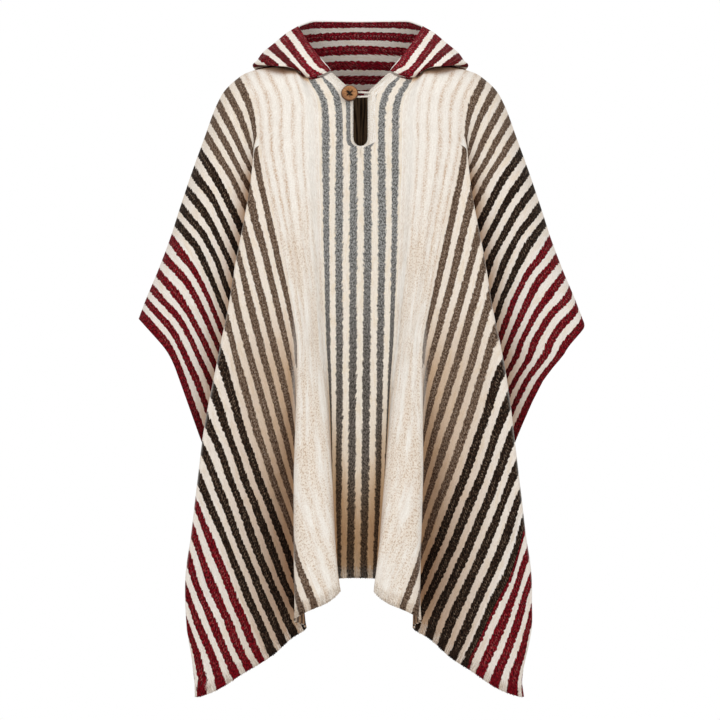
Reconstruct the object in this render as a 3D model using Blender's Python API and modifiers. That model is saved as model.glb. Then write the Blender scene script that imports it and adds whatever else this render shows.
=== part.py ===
"""Andean poncho with a hood, worn and hanging: front and back lengths, hood, slit edging, button and loop.

Metres, +Z up. The front faces -Y and +X is to the right of someone who looks at the front.
The origin is where the shoulders carry the cloth, level with the base of the neck.
Cloth is followed from the shoulder fold down to the hem along its stripes: one "stripe" number is
one coloured stripe with its gap, counted from the centre line outwards to the selvedge at 24.
"""

import math

import bmesh
import bpy
import numpy as np
from mathutils import Vector
from mathutils.bvhtree import BVHTree

WALL = 0.003  # blanket cloth
SEAM = 0.0003  # between pieces that are sewn to each other
CM = 0.01  # the tables below are in centimetres

PLY = 0.0055  # half the distance between two layers of a pressed-back fold
FOLD_SOFTNESS = 0.0045  # how far a turn is rounded, along the cloth
DRAPE_SOFTNESS = 0.016  # the same away from the turns
EDGE_SOFTNESS = 0.002  # the same at the shoulder fold, so that its direction is kept
FIRST_TURN = 0.08  # radians, so that the two lengths meet square at the shoulder fold
TURN_LENGTH = 0.012  # cloth on each side of a turn that changes depth

SLIT_HALF_WIDTH = 0.0152
SLIT_TOP = -0.036  # where the two edges part into the open neck
SLIT_ROUND = -0.105  # where the keyhole starts to close
SLIT_END = -0.128
NECK_OPEN_HALF = 0.050  # half the width of the open neck at its top
NECK_OPEN_TOP = -0.002
SLIT_REACH = 1.25  # stripes pushed aside by the slit

EDGING_RADIUS = 0.0012
BUTTON_RADIUS = 0.0146
BUTTON_THICKNESS = 0.0048
BUTTON_SIDE = -0.0185
BUTTON_HEIGHT = -0.0375
BUTTON_LIFT = 0.0062  # from the middle of the cloth to the back of its rim
SHANK_RADIUS = 0.0022
LOOP_RADIUS = 0.0013
LOOP_END_SIDE = 0.0245  # where its two ends are sewn, right of the slit

# The two sides don't hang quite alike. Each table lists heights with how far to the right the cloth
# hangs there from where its half and the mirror image would put it.
LEAN = ((-0.85, -0.006), (-0.72, -0.004), (-0.58, -0.002), (-0.30, 0.0))  # of the front's rolls
DRIFT = ((-0.98, 0.0), (-0.90, -0.0034), (-0.62, -0.0034), (-0.50, 0.0))  # of the rest below the sleeves
LEAN_STRIPES = (9, 14)  # the lean up to the first, the drift from the second
FULL_SLEEVE = ((-0.60, 0.0), (-0.525, 0.0046), (-0.503, 0.008), (-0.483, 0.017), (-0.442, 0.017), (-0.418, 0.0))
FULL_SLEEVE_STRIPES = (19, 23.5)
RIGHT_CORNER = ((-1.065, -0.003), (-1.034, -0.008), (-1.013, -0.008), (-0.93, 0.0))
RIGHT_CORNER_SIDES = (0.12, 0.24)  # none of it up to the first, all of it from the second

COLUMNS = ("stripe", "side", "drop", "depth")

# The shoulder fold, and the neck edge in front of it up to stripe 4.
FRONT_TOP = (
    (0, 5.0, 0.2, 7.0),
    (1.25, 5.8, 0.7, 7.0),
    (2.5, 8.3, 1.4, 5.8),
    (3.2, 9.9, 0.9, 4.0),
    (3.6, 10.7, 0.0, 2.2),
    (4, 11.2, -0.7, 0.045),
    (5, 13.5, -0.8, 0.045),
    (6.3, 17.0, -0.4, 0.045),
    (7.6, 19.6, 0.4, 0.045),
    (8.5, 21.3, 1.6, 0.045),
    (9.5, 23.1, 3.4, 0.045),
    (10.5, 24.4, 5.8, 0.045),
    (12.5, 26.4, 11.2, 0.045),
    (14.5, 28.4, 16.7, 0.045),
    (16.5, 30.4, 22.6, 0.045),
    (18.5, 32.2, 28.2, 0.045),
    (20.5, 34.3, 33.8, 0.045),
    (22.5, 36.4, 38.8, 0.045),
    (24, 37.6, 42.0, 0.045),
)
# Where the cloth has come round the shoulder and the arm to face forwards.
FRONT_BEND = (
    (0, 1.3, 4.8, 9.3),
    (1.25, 3.1, 4.8, 9.3),
    (2.5, 6.0, 5.1, 9.2),
    (4, 9.2, 4.8, 8.8),
    (6, 13.6, 4.6, 7.8),
    (7.6, 17.2, 5.1, 7.0),
    (8.5, 19.0, 6.3, 6.8),
    (9.5, 20.4, 8.5, 6.6),
    (10.5, 21.6, 11.2, 6.6),
    (12.5, 23.3, 16.2, 6.8),
    (14.5, 25.2, 21.8, 6.9),
    (17.5, 27.6, 30.3, 6.6),
    (20.5, 30.1, 38.8, 6.0),
    (22.5, 31.5, 44.4, 5.4),
    (24, 32.4, 47.8, 5.0),
)
# The inner turn of the fold beside the arm, hidden behind the front.
FRONT_VALLEY = (
    (0, 0.0, 9.5, 10.6),
    (2.5, 5.9, 9.5, 10.6),
    (4, 9.2, 9.5, 10.3),
    (7, 15.6, 10.0, 9.0),
    (8.5, 17.9, 11.2, 8.2),
    (9.5, 17.5, 16.7, 8.4),
    (10.5, 16.8, 21.4, 8.8),
    (12.5, 16.5, 30.6, 9.5),
    (13.5, 17.0, 37.1, 9.9),
    (15.5, 18.0, 45.6, 10.0),
    (17.5, 18.7, 54.4, 9.3),
    (19.5, 19.0, 62.2, 8.5),
    (21.5, 19.6, 69.7, 7.8),
    (23.2, 20.1, 76.2, 6.9),
    (24, 20.1, 79.6, 6.3),
)
# The outer turn, the long edge that runs from the shoulder to the hem's corner.
FRONT_RIDGE = (
    (0, 0.0, 12.8, 11.2),
    (2.5, 5.9, 12.8, 11.2),
    (4, 9.2, 12.8, 10.9),
    (7, 15.6, 12.8, 9.6),
    (8.5, 17.9, 13.6, 9.0),
    (9.5, 19.0, 20.6, 10.0),
    (10.5, 20.1, 27.0, 10.6),
    (11.5, 21.2, 32.6, 11.1),
    (12.5, 22.3, 39.6, 11.7),
    (13.5, 23.9, 47.1, 12.1),
    (15.5, 25.9, 58.3, 12.4),
    (17.5, 27.3, 69.4, 11.8),
    (19.5, 28.3, 78.0, 10.8),
    (21.5, 29.4, 87.4, 9.4),
    (22.5, 29.3, 94.0, 8.2),
    (23.2, 28.2, 98.3, 7.0),
    (24, 26.4, 98.3, 5.8),
)
# Level sections of the front between its ridge edges, then the hem.
FRONT_CHEST = (
    (0, 0.0, 28.6, 12.2),
    (2.2, 5.2, 28.6, 12.2),
    (5, 9.9, 28.6, 12.5),
    (8.5, 14.8, 28.6, 12.0),
    (10.7, 20.5, 28.6, 11.2),
)
FRONT_WAIST = (
    (0, 0.0, 45.6, 12.3),
    (1.6, 3.7, 45.6, 12.3),
    (2.2, 5.0, 45.6, 12.4),
    (3.6, 6.6, 45.6, 12.8),
    (5, 8.0, 45.6, 13.3),
    (6.2, 9.1, 45.6, 13.5),
    (7, 9.9, 45.6, 13.6),
    (7.4, 10.4, 45.6, 13.4),
    (7.7, 10.7, 45.6, 13.2),
    (7.9, 10.9, 45.6, 13.1),
    (8.2, 11.3, 45.6, 13.0),
    (10.6, 17.0, 45.6, 12.8),
    (13.3, 23.5, 45.6, 12.6),
)
# The next two list the same features as the waist: the centre, the roll beside it with its front
# edge, the turn behind that edge, and the panel that runs out to the ridge.
FRONT_SKIRT = (
    (0, 0.0, 69.4, 10.3),
    (1.8, 3.9, 69.4, 10.3),
    (2.4, 4.6, 69.4, 10.8),
    (4.2, 4.5, 69.4, 13.2),
    (4.9, 5.3, 69.4, 14.2),
    (6.5, 8.2, 69.4, 14.9),
    (7.6, 10.4, 69.4, 14.4),
    (8.1, 10.9, 69.4, 13.6),
    (9.6, 10.4, 69.4, 10.4),
    (10.6, 10.2, 69.4, 8.8),
    (11.3, 11.3, 69.4, 8.2),
    (14.4, 19.3, 69.4, 10.4),
    (17.5, 27.3, 69.4, 12.3),
)
FRONT_FLARE = (
    (0, 0.0, 81.0, 7.4),
    (1.6, 3.3, 81.0, 7.4),
    (2.2, 3.8, 81.3, 7.9),
    (4.4, 3.7, 82.0, 11.5),
    (5.9, 3.5, 83.2, 14.8),
    (7.5, 5.8, 85.4, 16.0),
    (9.1, 9.4, 87.2, 15.6),
    (9.8, 10.6, 88.0, 14.4),
    (11.5, 10.1, 88.6, 10.2),
    (13.5, 9.4, 89.2, 6.1),
    (14.2, 10.3, 90.0, 5.3),
    (18.0, 18.9, 95.2, 6.0),
    (21.6, 26.4, 100.0, 7.2),
)
FRONT_HEM = (
    (0, 0.0, 85.9, 6.5),
    (1.6, 3.2, 86.0, 6.5),
    (2.2, 3.6, 86.3, 7.0),
    (4.4, 3.5, 87.0, 11.0),
    (6.2, 3.0, 88.1, 15.0),
    (6.9, 3.9, 89.2, 15.9),
    (7.7, 5.3, 90.2, 16.3),
    (8.5, 7.0, 90.9, 16.3),
    (9.5, 9.2, 91.9, 15.8),
    (10.2, 10.5, 92.7, 14.6),
    (10.8, 10.6, 93.2, 13.0),
    (12, 10.0, 93.5, 10.2),
    (13.6, 9.2, 93.9, 6.6),
    (14.4, 9.1, 94.5, 4.9),
    (15, 10.0, 95.2, 4.2),
    (15.5, 11.3, 95.9, 4.0),
    (17.5, 15.3, 99.3, 4.2),
    (19.5, 19.7, 102.0, 4.8),
    (21.5, 24.7, 105.1, 5.6),
    (22.5, 27.2, 106.0, 6.2),
    (23.1, 27.9, 106.1, 6.2),
    (23.6, 26.9, 105.4, 5.0),
    (24, 25.5, 104.7, 4.4),
)
BETWEEN = (0.25, 0.5, 0.75)  # where more levels lie between two that list the same features

# The back length: its own neck edge, levels and hem. Beside the arms it hangs as the front does.
BACK_NECK = (
    (0, 0.0, 4.2, 7.4),
    (1.25, 3.6, 3.8, 7.0),
    (2.5, 7.0, 2.4, 5.5),
    (3.3, 9.6, 0.6, 3.2),
)
BACK_YOKE = (
    (0, 0.0, 9.0, 9.7),
    (2.5, 6.4, 8.4, 9.5),
    (4, 10.0, 7.4, 9.0),
    (6, 14.2, 5.6, 7.8),
    (7.6, 17.3, 5.4, 7.0),
)
BACK_CHEST = (
    (0, 0.0, 28.6, 10.8),
    (2.2, 5.5, 28.6, 10.8),
    (5, 11.4, 28.6, 10.9),
    (8.5, 16.4, 28.6, 10.6),
    (10.7, 20.2, 28.6, 10.0),
)
BACK_WAIST = (
    (0, 0.0, 45.6, 11.6),
    (2.5, 5.6, 45.6, 11.0),
    (5, 10.4, 45.6, 10.6),
    (8, 15.2, 45.6, 11.3),
    (10, 18.4, 45.6, 11.5),
    (13.3, 23.2, 45.6, 10.9),
)
BACK_SKIRT = (
    (0, 0.0, 69.4, 12.8),
    (1.4, 3.1, 69.4, 12.4),
    (2.5, 4.8, 69.4, 10.9),
    (3.7, 6.0, 69.4, 9.2),
    (5, 8.2, 69.4, 8.4),
    (7, 12.0, 69.4, 8.9),
    (8.4, 14.4, 69.4, 10.4),
    (9.6, 16.6, 69.4, 11.6),
    (10.8, 18.7, 69.4, 11.4),
    (12.2, 20.2, 69.4, 9.9),
    (13.6, 21.6, 69.4, 9.3),
    (15.2, 23.6, 69.4, 9.7),
    (17.5, 26.9, 69.4, 10.7),
)
BACK_HEM = (
    (0, 0.0, 85.2, 13.6),
    (1.3, 2.9, 85.2, 13.2),
    (2.4, 4.4, 86.4, 11.4),
    (3.7, 5.0, 87.4, 8.6),
    (5, 7.0, 89.4, 7.0),
    (6.8, 10.6, 91.6, 7.2),
    (8.4, 13.0, 95.6, 9.6),
    (9.6, 15.0, 97.6, 11.6),
    (10.6, 16.9, 98.9, 12.0),
    (12, 18.4, 99.8, 9.8),
    (13.4, 18.8, 100.2, 7.2),
    (15, 20.2, 101.2, 5.4),
    (17.5, 22.4, 102.4, 4.6),
    (19.5, 24.2, 103.6, 4.6),
    (21.5, 25.9, 104.7, 5.0),
    (22.5, 26.7, 105.0, 5.4),
    (23.1, 27.2, 105.0, 5.2),
    (23.6, 26.4, 104.5, 4.4),
    (24, 25.2, 104.0, 3.8),
)
BACK_LEVELS = (BACK_CHEST, BACK_WAIST, BACK_SKIRT)
BACK_SIDE_SHARE = 0.985  # the back's edge beside the arm is this share as far out as the front's
BACK_DEPTH_SHARE = 0.88
BACK_VALLEY_SHARE = 0.84

FRONT_STRIPES = (
    0, 0.6, 1.25, 1.9, 2.4, 3.3, 4.0, 4.7, 5.3, 6.0, 6.8, 7.7, 8.5, 9.3, 9.9, 10.4, 11, 12, 13,
    13.8, 14.4, 15, 15.8, 17, 18.3, 19.6, 21, 22.1, 22.7, 23.2, 24,
)  # fmt: skip
BACK_STRIPES = (
    0, 1.2, 2, 2.8, 3.5, 4, 5, 6, 7.2, 8.2, 9, 9.9, 10.8, 12, 13, 13.8, 15, 16.6, 18.3, 20, 21.4,
    22.4, 23.1, 24,
)  # fmt: skip
# The hood lies open on the back. Its bands are counted like stripes, from the face edge to the
# seam at the back of the head, and each line below runs across them.
HOOD_UNDER = (
    (0, 5.9, -1.3, 5.9),
    (1.8, 9.5, -0.1, 5.6),
    (3.4, 11.9, -0.9, 3.8),
    (4.6, 13.3, -1.6, 0.9),
    (6.5, 11.6, -1.0, -4.4),
    (8.5, 7.0, 2.4, -8.0),
    (10.7, 0.0, 4.6, -8.7),
)
HOOD_LIP = (
    (0, 7.2, -2.8, 3.2),
    (1.8, 10.4, -1.0, 5.1),
    (3.4, 13.5, -1.0, 6.4),
    (4.6, 16.0, -1.2, 1.4),
    (6.5, 14.0, -0.8, -4.9),
    (8.5, 9.5, 2.6, -9.4),
    (10.7, 0.0, 5.8, -9.9),
)
HOOD_SIDE = (
    (0, 8.9, -5.1, -0.6),
    (1.8, 12.3, -3.4, 1.1),
    (3.4, 15.5, -2.7, 1.9),
    (4.6, 18.3, -1.2, -0.8),
    (6.5, 16.0, 0.2, -6.6),
    (8.5, 11.2, 3.6, -10.2),
    (10.7, 0.0, 7.4, -11.1),
)
HOOD_CREST = (
    (0, 10.6, -7.9, -6.3),
    (0.9, 12.6, -6.8, -5.9),
    (1.8, 14.3, -5.4, -5.4),
    (3.4, 17.2, -2.7, -5.0),
    (4.6, 17.9, -0.9, -6.0),
    (6.5, 15.4, 1.8, -9.6),
    (8.5, 11.6, 6.2, -11.3),
    (10.7, 0.0, 9.4, -12.3),
)
HOOD_BACK = (
    (0, 8.2, -8.9, -9.6),
    (1.8, 9.6, -4.9, -11.6),
    (3.4, 11.5, -1.0, -12.8),
    (4.6, 12.4, 1.5, -13.4),
    (6.5, 11.8, 5.2, -13.9),
    (8.5, 9.0, 9.4, -13.6),
    (10.7, 0.0, 12.4, -13.6),
)
HOOD_FOLD = (
    (0, 0.0, -8.8, -11.0),
    (1.8, 0.0, -4.8, -12.6),
    (3.4, 0.0, -0.8, -13.9),
    (4.6, 0.0, 2.0, -14.8),
    (6.5, 0.0, 6.6, -15.6),
    (8.5, 0.0, 11.2, -15.8),
    (10.7, 0.0, 15.2, -14.8),
)
HOOD_LINES = (HOOD_UNDER, HOOD_LIP, HOOD_SIDE, HOOD_CREST, HOOD_BACK, HOOD_FOLD)
# Where each band is sewn: the stripe on the front's neck edge, or 8 less the stripe on the back's.
HOOD_SEWN = ((0, 0), (1.8, 2.7), (3.4, 3.6), (4.6, 4.0), (6.5, 4.9), (8.5, 6.3), (10.7, 8.0))
HOOD_BANDS = (0, 0.6, 1.2, 1.8, 2.5, 3.1, 3.7, 4.3, 5, 5.8, 6.7, 7.7, 8.7, 9.7, 10.7)
HOOD_ROWS = (3, 3, 3, 3, 3, 3)
HOOD_RAISED = 0.0038  # above the neck edge, between the middles of the two walls
HOOD_CLEAR = 0.0062  # the same above the shoulders
HOOD_SOFTNESS = 0.008

# Rows of faces between one guide line and the next, from the shoulder to the hem.
ROWS = (1, 4, 4, 1, 1, 2, 1, 1, 11)


def column(table, name):
    return np.array([row[COLUMNS.index(name)] for row in table], float)


def smooth_through(x, y):
    """A curve through the points that doesn't overshoot between them."""
    step = np.diff(x)
    slope = np.diff(y) / step
    tangent = np.empty(len(x))
    tangent[0], tangent[-1] = slope[0], slope[-1]
    before, after = slope[:-1], slope[1:]
    same = before * after > 0
    w1, w2 = 2 * step[1:] + step[:-1], step[1:] + 2 * step[:-1]
    mean = np.zeros(len(before))
    mean[same] = (w1 + w2)[same] / ((w1 / np.where(same, before, 1) + w2 / np.where(same, after, 1))[same])
    tangent[1:-1] = mean

    def at(value):
        i = int(np.clip(np.searchsorted(x, value) - 1, 0, len(x) - 2))
        t = (value - x[i]) / step[i]
        rise = y[i] * (1 + 2 * t) * (1 - t) ** 2 + y[i + 1] * t * t * (3 - 2 * t)
        return rise + step[i] * (tangent[i] * t * (1 - t) ** 2 - tangent[i + 1] * t * t * (1 - t))

    return at


class Guide:
    """One line across the cloth, from the centre to the selvedge: where each stripe crosses it."""

    def __init__(self, table, facing):
        stripes = column(table, "stripe")
        self.last = stripes[-1]
        self.facing = facing
        self.parts = [smooth_through(stripes, column(table, name)) for name in COLUMNS[1:]]

    def at(self, stripe):
        side, drop, depth = (part(stripe) for part in self.parts)
        return np.array((side, self.facing * depth, -drop)) * CM


def unit(vector):
    return vector / np.linalg.norm(vector)


def ramp(value, low, high):
    return min(max((value - low) / (high - low), 0), 1)


def cloth_line(guides, stripe, facing):
    """The places along one stripe with how softly each is rounded, and which of them end a run of rows."""
    top, bend, valley, ridge, hem = (guides[name].at(stripe) for name in ("top", "bend", "valley", "ridge", "hem"))
    run = [top]
    # The quarter turn over the shoulder or arm starts square to the shoulder fold.
    turned = ramp(stripe, 1.5, 4)
    for angle in (FIRST_TURN, *np.linspace(0, math.pi / 2, 9)[1:]):
        flat = angle / (math.pi / 2)
        across = (1 - math.cos(angle)) * turned + flat * (1 - turned)
        along = math.sin(angle) * turned + flat * (1 - turned)
        place = top + (bend - top) * across
        place[1] = top[1] + (bend[1] - top[1]) * along
        run.append(place)
    marks = [0, 1, len(run) - 1]
    softness = list(np.linspace(EDGE_SOFTNESS, DRAPE_SOFTNESS, len(run)))
    folded = ramp(stripe, 8.7, 10.5)
    below = [guide.at(stripe) for guide in guides["levels"] if stripe < guide.last - 0.05]
    below = [place for place in below if place[2] < ridge[2] - 0.03] + [hem]
    first = TURN_LENGTH * (0.4 + 0.6 * folded)
    behind = np.array((0, -facing * PLY * folded, 0))
    before_valley = valley + unit(bend - valley) * first + behind
    after_valley = valley + unit(ridge - valley) * first - behind
    before_ridge = ridge + unit(valley - ridge) * first + behind
    after_ridge = ridge + unit(below[0] - ridge) * first - behind * (1 - ramp(stripe, 22.6, 23.6))
    for place in (before_valley, valley, after_valley, before_ridge, ridge, after_ridge):
        run.append(place)
        softness.append(FOLD_SOFTNESS + (1 - folded) * (DRAPE_SOFTNESS - FOLD_SOFTNESS))
        marks.append(len(run) - 1)
    run += below
    softness += [DRAPE_SOFTNESS] * len(below)
    marks.append(len(run) - 1)
    return np.array(run), np.array(softness), marks


def rounded(points, softness, marks, rows):
    """Rows of places along a line of points whose corners are rounded, the ends kept."""
    length = np.concatenate(([0], np.cumsum(np.linalg.norm(np.diff(points, axis=0), axis=1))))
    fine = np.linspace(0, length[-1], 360)
    sampled = np.stack([np.interp(fine, length, points[:, i]) for i in range(3)], axis=1)
    # Past each end the line goes straight on, so that the ends stay where they are.
    extra = fine[1:60]
    start = sampled[0] - (sampled[1:60] - sampled[0])
    end = sampled[-1] + (sampled[-1] - sampled[-60:-1][::-1])
    places = np.concatenate((start[::-1], sampled, end))
    where = np.concatenate((-extra[::-1], fine, fine[-1] + extra))
    wanted = [length[marks[0]]]
    for a, b, count in zip(marks, marks[1:], rows):
        wanted += list(np.linspace(length[a], length[b], count + 1)[1:])
    wanted = np.array(wanted)
    soft = np.interp(wanted, length, softness)
    weight = np.exp(-0.5 * ((where[None, :] - wanted[:, None]) / soft[:, None]) ** 2)
    weight /= weight.sum(axis=1, keepdims=True)
    return weight @ places


def slit_half_width(height):
    """Half the gap between the two edges of the front slit at a height."""
    if height > SLIT_TOP:
        rise = (height - SLIT_TOP) / (NECK_OPEN_TOP - SLIT_TOP)
        return SLIT_HALF_WIDTH + (NECK_OPEN_HALF - SLIT_HALF_WIDTH) * min(rise, 1)
    if height > SLIT_ROUND:
        return SLIT_HALF_WIDTH
    closing = min((SLIT_ROUND - height) / (SLIT_ROUND - SLIT_END), 1)
    return SLIT_HALF_WIDTH * math.sqrt(1 - closing * closing)


def half_cloth(tables, levels, stripes, facing, slit):
    """Rows of places for the right half of one length of cloth, from the shoulder to the hem."""
    guides = {name: Guide(table, facing) for name, table in tables.items()}
    guides["levels"] = [Guide(table, facing) for table in levels]
    grid = np.stack([rounded(*cloth_line(guides, stripe, facing), ROWS) for stripe in stripes], axis=1)
    for row in grid if slit else ():
        opening = slit_half_width(row[0][2])
        reach = next(i for i, stripe in enumerate(stripes) if stripe >= SLIT_REACH)
        edge = np.array((opening, row[0][1], row[0][2]))
        for i in range(reach):
            row[i] = edge + (row[reach] - edge) * (stripes[i] / SLIT_REACH) if opening > 0 else row[i]
    return grid


def hung(sign, stripe, place, facing):
    """How far to the right a place hangs from where its half and the mirror image would put it."""
    side, _, height = place
    outer = ramp(stripe, *LEAN_STRIPES)
    aside = outer * float(np.interp(height, *zip(*DRIFT)))
    if facing < 0:
        aside += (1 - outer) * float(np.interp(height, *zip(*LEAN)))
    if sign > 0:
        aside += ramp(stripe, *FULL_SLEEVE_STRIPES) * float(np.interp(height, *zip(*FULL_SLEEVE)))
        aside += ramp(side, *RIGHT_CORNER_SIDES) * float(np.interp(height, *zip(*RIGHT_CORNER)))
    return aside


def whole_mesh(name, half, facing, stripes=()):
    """The half and its mirror image as one open sheet, welded where both meet the centre plane."""
    rows, columns, _ = half.shape
    mesh = bpy.data.meshes.new(name)
    work = bmesh.new()
    for sign in (1, -1):
        made = []
        for row in half:
            aside = [hung(sign, stripe, place, facing) for stripe, place in zip(stripes, row)] or [0] * columns
            made.append([work.verts.new((sign * x + a, y, z)) for (x, y, z), a in zip(row, aside)])
        for i in range(rows - 1):
            for j in range(columns - 1):
                corners = [made[i][j], made[i + 1][j], made[i + 1][j + 1], made[i][j + 1]]
                work.faces.new(corners if sign == -facing else corners[::-1])
    bmesh.ops.remove_doubles(work, verts=work.verts, dist=0.00005)
    work.to_mesh(mesh)
    work.free()
    return mesh


def material(name, colour, roughness, metallic=0.0):
    made = bpy.data.materials.new(name)
    made.use_nodes = True
    shader = made.node_tree.nodes["Principled BSDF"]
    shader.inputs["Base Color"].default_value = (*colour, 1)
    shader.inputs["Roughness"].default_value = roughness
    shader.inputs["Metallic"].default_value = metallic
    return made


def add_object(name, mesh, finish):
    made = bpy.data.objects.new(name, mesh)
    made.data.materials.append(finish)
    bpy.data.collections["andean_poncho"].objects.link(made)
    return made


def between(upper, lower):
    """Levels between two that list the same features, each moved by its share of the way."""
    pairs = list(zip(upper, lower))
    return [[tuple(a + (b - a) * share for a, b in zip(*pair)) for pair in pairs] for share in BETWEEN]


def front_half():
    tables = {"top": FRONT_TOP, "bend": FRONT_BEND, "valley": FRONT_VALLEY, "ridge": FRONT_RIDGE, "hem": FRONT_HEM}
    rolls = between(FRONT_WAIST, FRONT_SKIRT)
    flares = between(FRONT_SKIRT, FRONT_FLARE)
    levels = (FRONT_CHEST, FRONT_WAIST, *rolls, FRONT_SKIRT, *flares, FRONT_FLARE)
    return half_cloth(tables, levels, FRONT_STRIPES, -1, slit=True)


def hung_behind(table, depth_share):
    """A guide line of the front carried over to the back."""
    return [(stripe, side * BACK_SIDE_SHARE, drop, depth * depth_share) for stripe, side, drop, depth in table]


def back_half():
    shoulder = [row for row in FRONT_TOP if row[0] >= 4]
    outer = [row for row in FRONT_BEND if row[0] > BACK_YOKE[-1][0]]
    tables = {
        "top": [*BACK_NECK, *shoulder],
        "bend": [*BACK_YOKE, *outer],
        "valley": hung_behind(FRONT_VALLEY, BACK_VALLEY_SHARE),
        "ridge": hung_behind(FRONT_RIDGE, BACK_DEPTH_SHARE),
        "hem": BACK_HEM,
    }
    return half_cloth(tables, BACK_LEVELS, BACK_STRIPES, 1, slit=False)


def neck_place(sewn):
    """A place on the neck edge, from the front's slit (0) over the shoulder (4) to the nape (8)."""
    if sewn <= 4:
        return Guide(FRONT_TOP, -1).at(sewn)
    shoulder = [row for row in FRONT_TOP if row[0] >= 4]
    return Guide((*BACK_NECK, *shoulder), 1).at(8 - sewn)


def surface(half, facing):
    """The middle of half a length of cloth, to measure from."""
    rows, columns, _ = half.shape
    faces = []
    for i in range(rows - 1):
        for j in range(columns - 1):
            a = i * columns + j
            face = (a, a + columns, a + columns + 1, a + 1)
            faces.append(face if facing < 0 else face[::-1])
    return BVHTree.FromPolygons([Vector(place) for row in half for place in row], faces)


def lifted(place, surfaces, clear):
    """The place itself, or where it stands clear of the nearest surface that it is too close to."""
    found = min((tree.find_nearest(place) for tree in surfaces), key=lambda near: near[3])
    height = (Vector(place) - found[0]).dot(found[1])
    if found[3] > 2 * clear or height >= clear:
        return place
    return place + np.array(found[1]) * (clear - height)


def hood_half(surfaces):
    """Half the hood: each band starts at the neck edge, turns over and ends on the fold at the back."""
    lines = [Guide(table, -1) for table in HOOD_LINES]
    bands, sewn = zip(*HOOD_SEWN)
    columns = []
    for band in HOOD_BANDS:
        seam = neck_place(float(np.interp(band, bands, sewn))) + np.array((0, 0, HOOD_RAISED))
        run = [seam] + [line.at(band) for line in lines]
        run.append(run[-2] * np.array((-1, 1, 1)))
        softness = np.linspace(EDGE_SOFTNESS, HOOD_SOFTNESS, len(run))
        columns.append(rounded(np.array(run), softness, range(len(lines) + 1), HOOD_ROWS))
    half = np.stack(columns, axis=1)
    for i, row in enumerate(half[: sum(HOOD_ROWS[:2])]):
        for j, place in enumerate(row):
            row[j] = lifted(place, surfaces, HOOD_CLEAR if i else HOOD_RAISED)
    half[-1, :, 0] = 0
    half[:, -1, 0] = 0
    return half


def cloth(name, half, facing, finish, stripes=()):
    """The half and its mirror image as one wall, thickened to both sides of the middle."""
    shell = add_object(name, whole_mesh(name, half, facing, stripes), finish).modifiers.new("wall", "SOLIDIFY")
    shell.thickness = WALL
    shell.offset = 0


def slit_line(front):
    """The front's right slit edge, top to bottom, as rows of places."""
    return np.array([row[0] for row in front if row[0][2] > SLIT_END - 0.004])


def tube(name, points, radius, finish):
    path = bpy.data.curves.new(name, "CURVE")
    path.dimensions = "3D"
    path.bevel_depth = radius
    path.bevel_resolution = 2
    path.use_fill_caps = True
    line = path.splines.new("POLY")
    line.points.add(len(points) - 1)
    for point, place in zip(line.points, points):
        point.co = (*place, 1)
    return add_object(name, path, finish)


def edging(front, finish):
    """The overcast edge of the slit, along the inner side of its two edges."""
    right = slit_line(front)
    clear = WALL / 2 + EDGING_RADIUS + SEAM
    inner = []
    for before, place, after in zip(right, right[1:], right[2:]):
        along = unit(after - before)
        across = unit(np.array((along[2], 0, -along[0])))
        inner.append(place + across * (clear if across[0] < 0 else -clear))
    inner = [place for place in inner if place[0] > EDGING_RADIUS]
    inner.append(np.array((0, right[-1][1], right[-1][2] + clear)))
    mirrored = [place * np.array((-1, 1, 1)) for place in inner[-2::-1]]
    tube("slit_edging", inner + mirrored, EDGING_RADIUS, finish)


def button_seat(front_surface):
    """Where the button's shank meets the middle of the cloth, with the directions out of it and up along it."""
    rise = 0
    for _ in range(3):
        place, out, _, _ = front_surface.ray_cast(
            Vector((-BUTTON_SIDE, -1, BUTTON_HEIGHT - rise)), Vector((0, 1, 0))
        )
        out = unit(np.array((0, out[1], out[2])))
        rise = out[2] * (BUTTON_LIFT + BUTTON_THICKNESS / 2)
    return np.array((BUTTON_SIDE, place[1], place[2])), out, np.array((0, out[2], -out[1]))


def button(seat, finish):
    place, out, _ = seat
    half = BUTTON_THICKNESS / 2
    shank = BUTTON_LIFT - WALL / 2 - SEAM
    outline = (
        (0, half * 0.72),
        (BUTTON_RADIUS * 0.62, half * 0.80),
        (BUTTON_RADIUS * 0.80, half),
        (BUTTON_RADIUS * 0.93, half * 0.75),
        (BUTTON_RADIUS, 0),
        (BUTTON_RADIUS * 0.88, -half * 0.8),
        (BUTTON_RADIUS * 0.6, -half),
        (SHANK_RADIUS, -half),
        (SHANK_RADIUS, -half - shank),
        (0, -half - shank),
    )
    mesh = bpy.data.meshes.new("button")
    mesh.from_pydata([(x, 0, z) for x, z in outline], [(i, i + 1) for i in range(len(outline) - 1)], [])
    made = add_object("button", mesh, finish)
    turn = made.modifiers.new("turned", "SCREW")
    turn.steps = turn.render_steps = 24
    turn.use_merge_vertices = True
    turn.merge_threshold = 0.0001
    made.rotation_euler = Vector(out).to_track_quat("Z", "Y").to_euler()
    made.location = place + out * (BUTTON_LIFT + half)


def button_loop(seat, finish):
    """A doubled cord from the right edge, round the button's shank and back, lying on the cloth."""
    place, out, up = seat
    turn = SHANK_RADIUS + SEAM + LOOP_RADIUS
    reach = LOOP_END_SIDE - BUTTON_SIDE
    flat = [(reach, turn)]
    for angle in np.linspace(0.5, 1.5, 11) * math.pi:
        flat.append((turn * math.cos(angle), turn * math.sin(angle)))
    flat.append((reach, -turn))
    middle = place + out * (WALL / 2 + 2 * SEAM + LOOP_RADIUS)
    tube("button_loop", [middle + (side, 0, 0) + up * rise for side, rise in flat], LOOP_RADIUS, finish)


def start():
    for obj in list(bpy.data.objects):
        bpy.data.objects.remove(obj)
    collection = bpy.data.collections.new("andean_poncho")
    bpy.context.scene.collection.children.link(collection)


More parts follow.
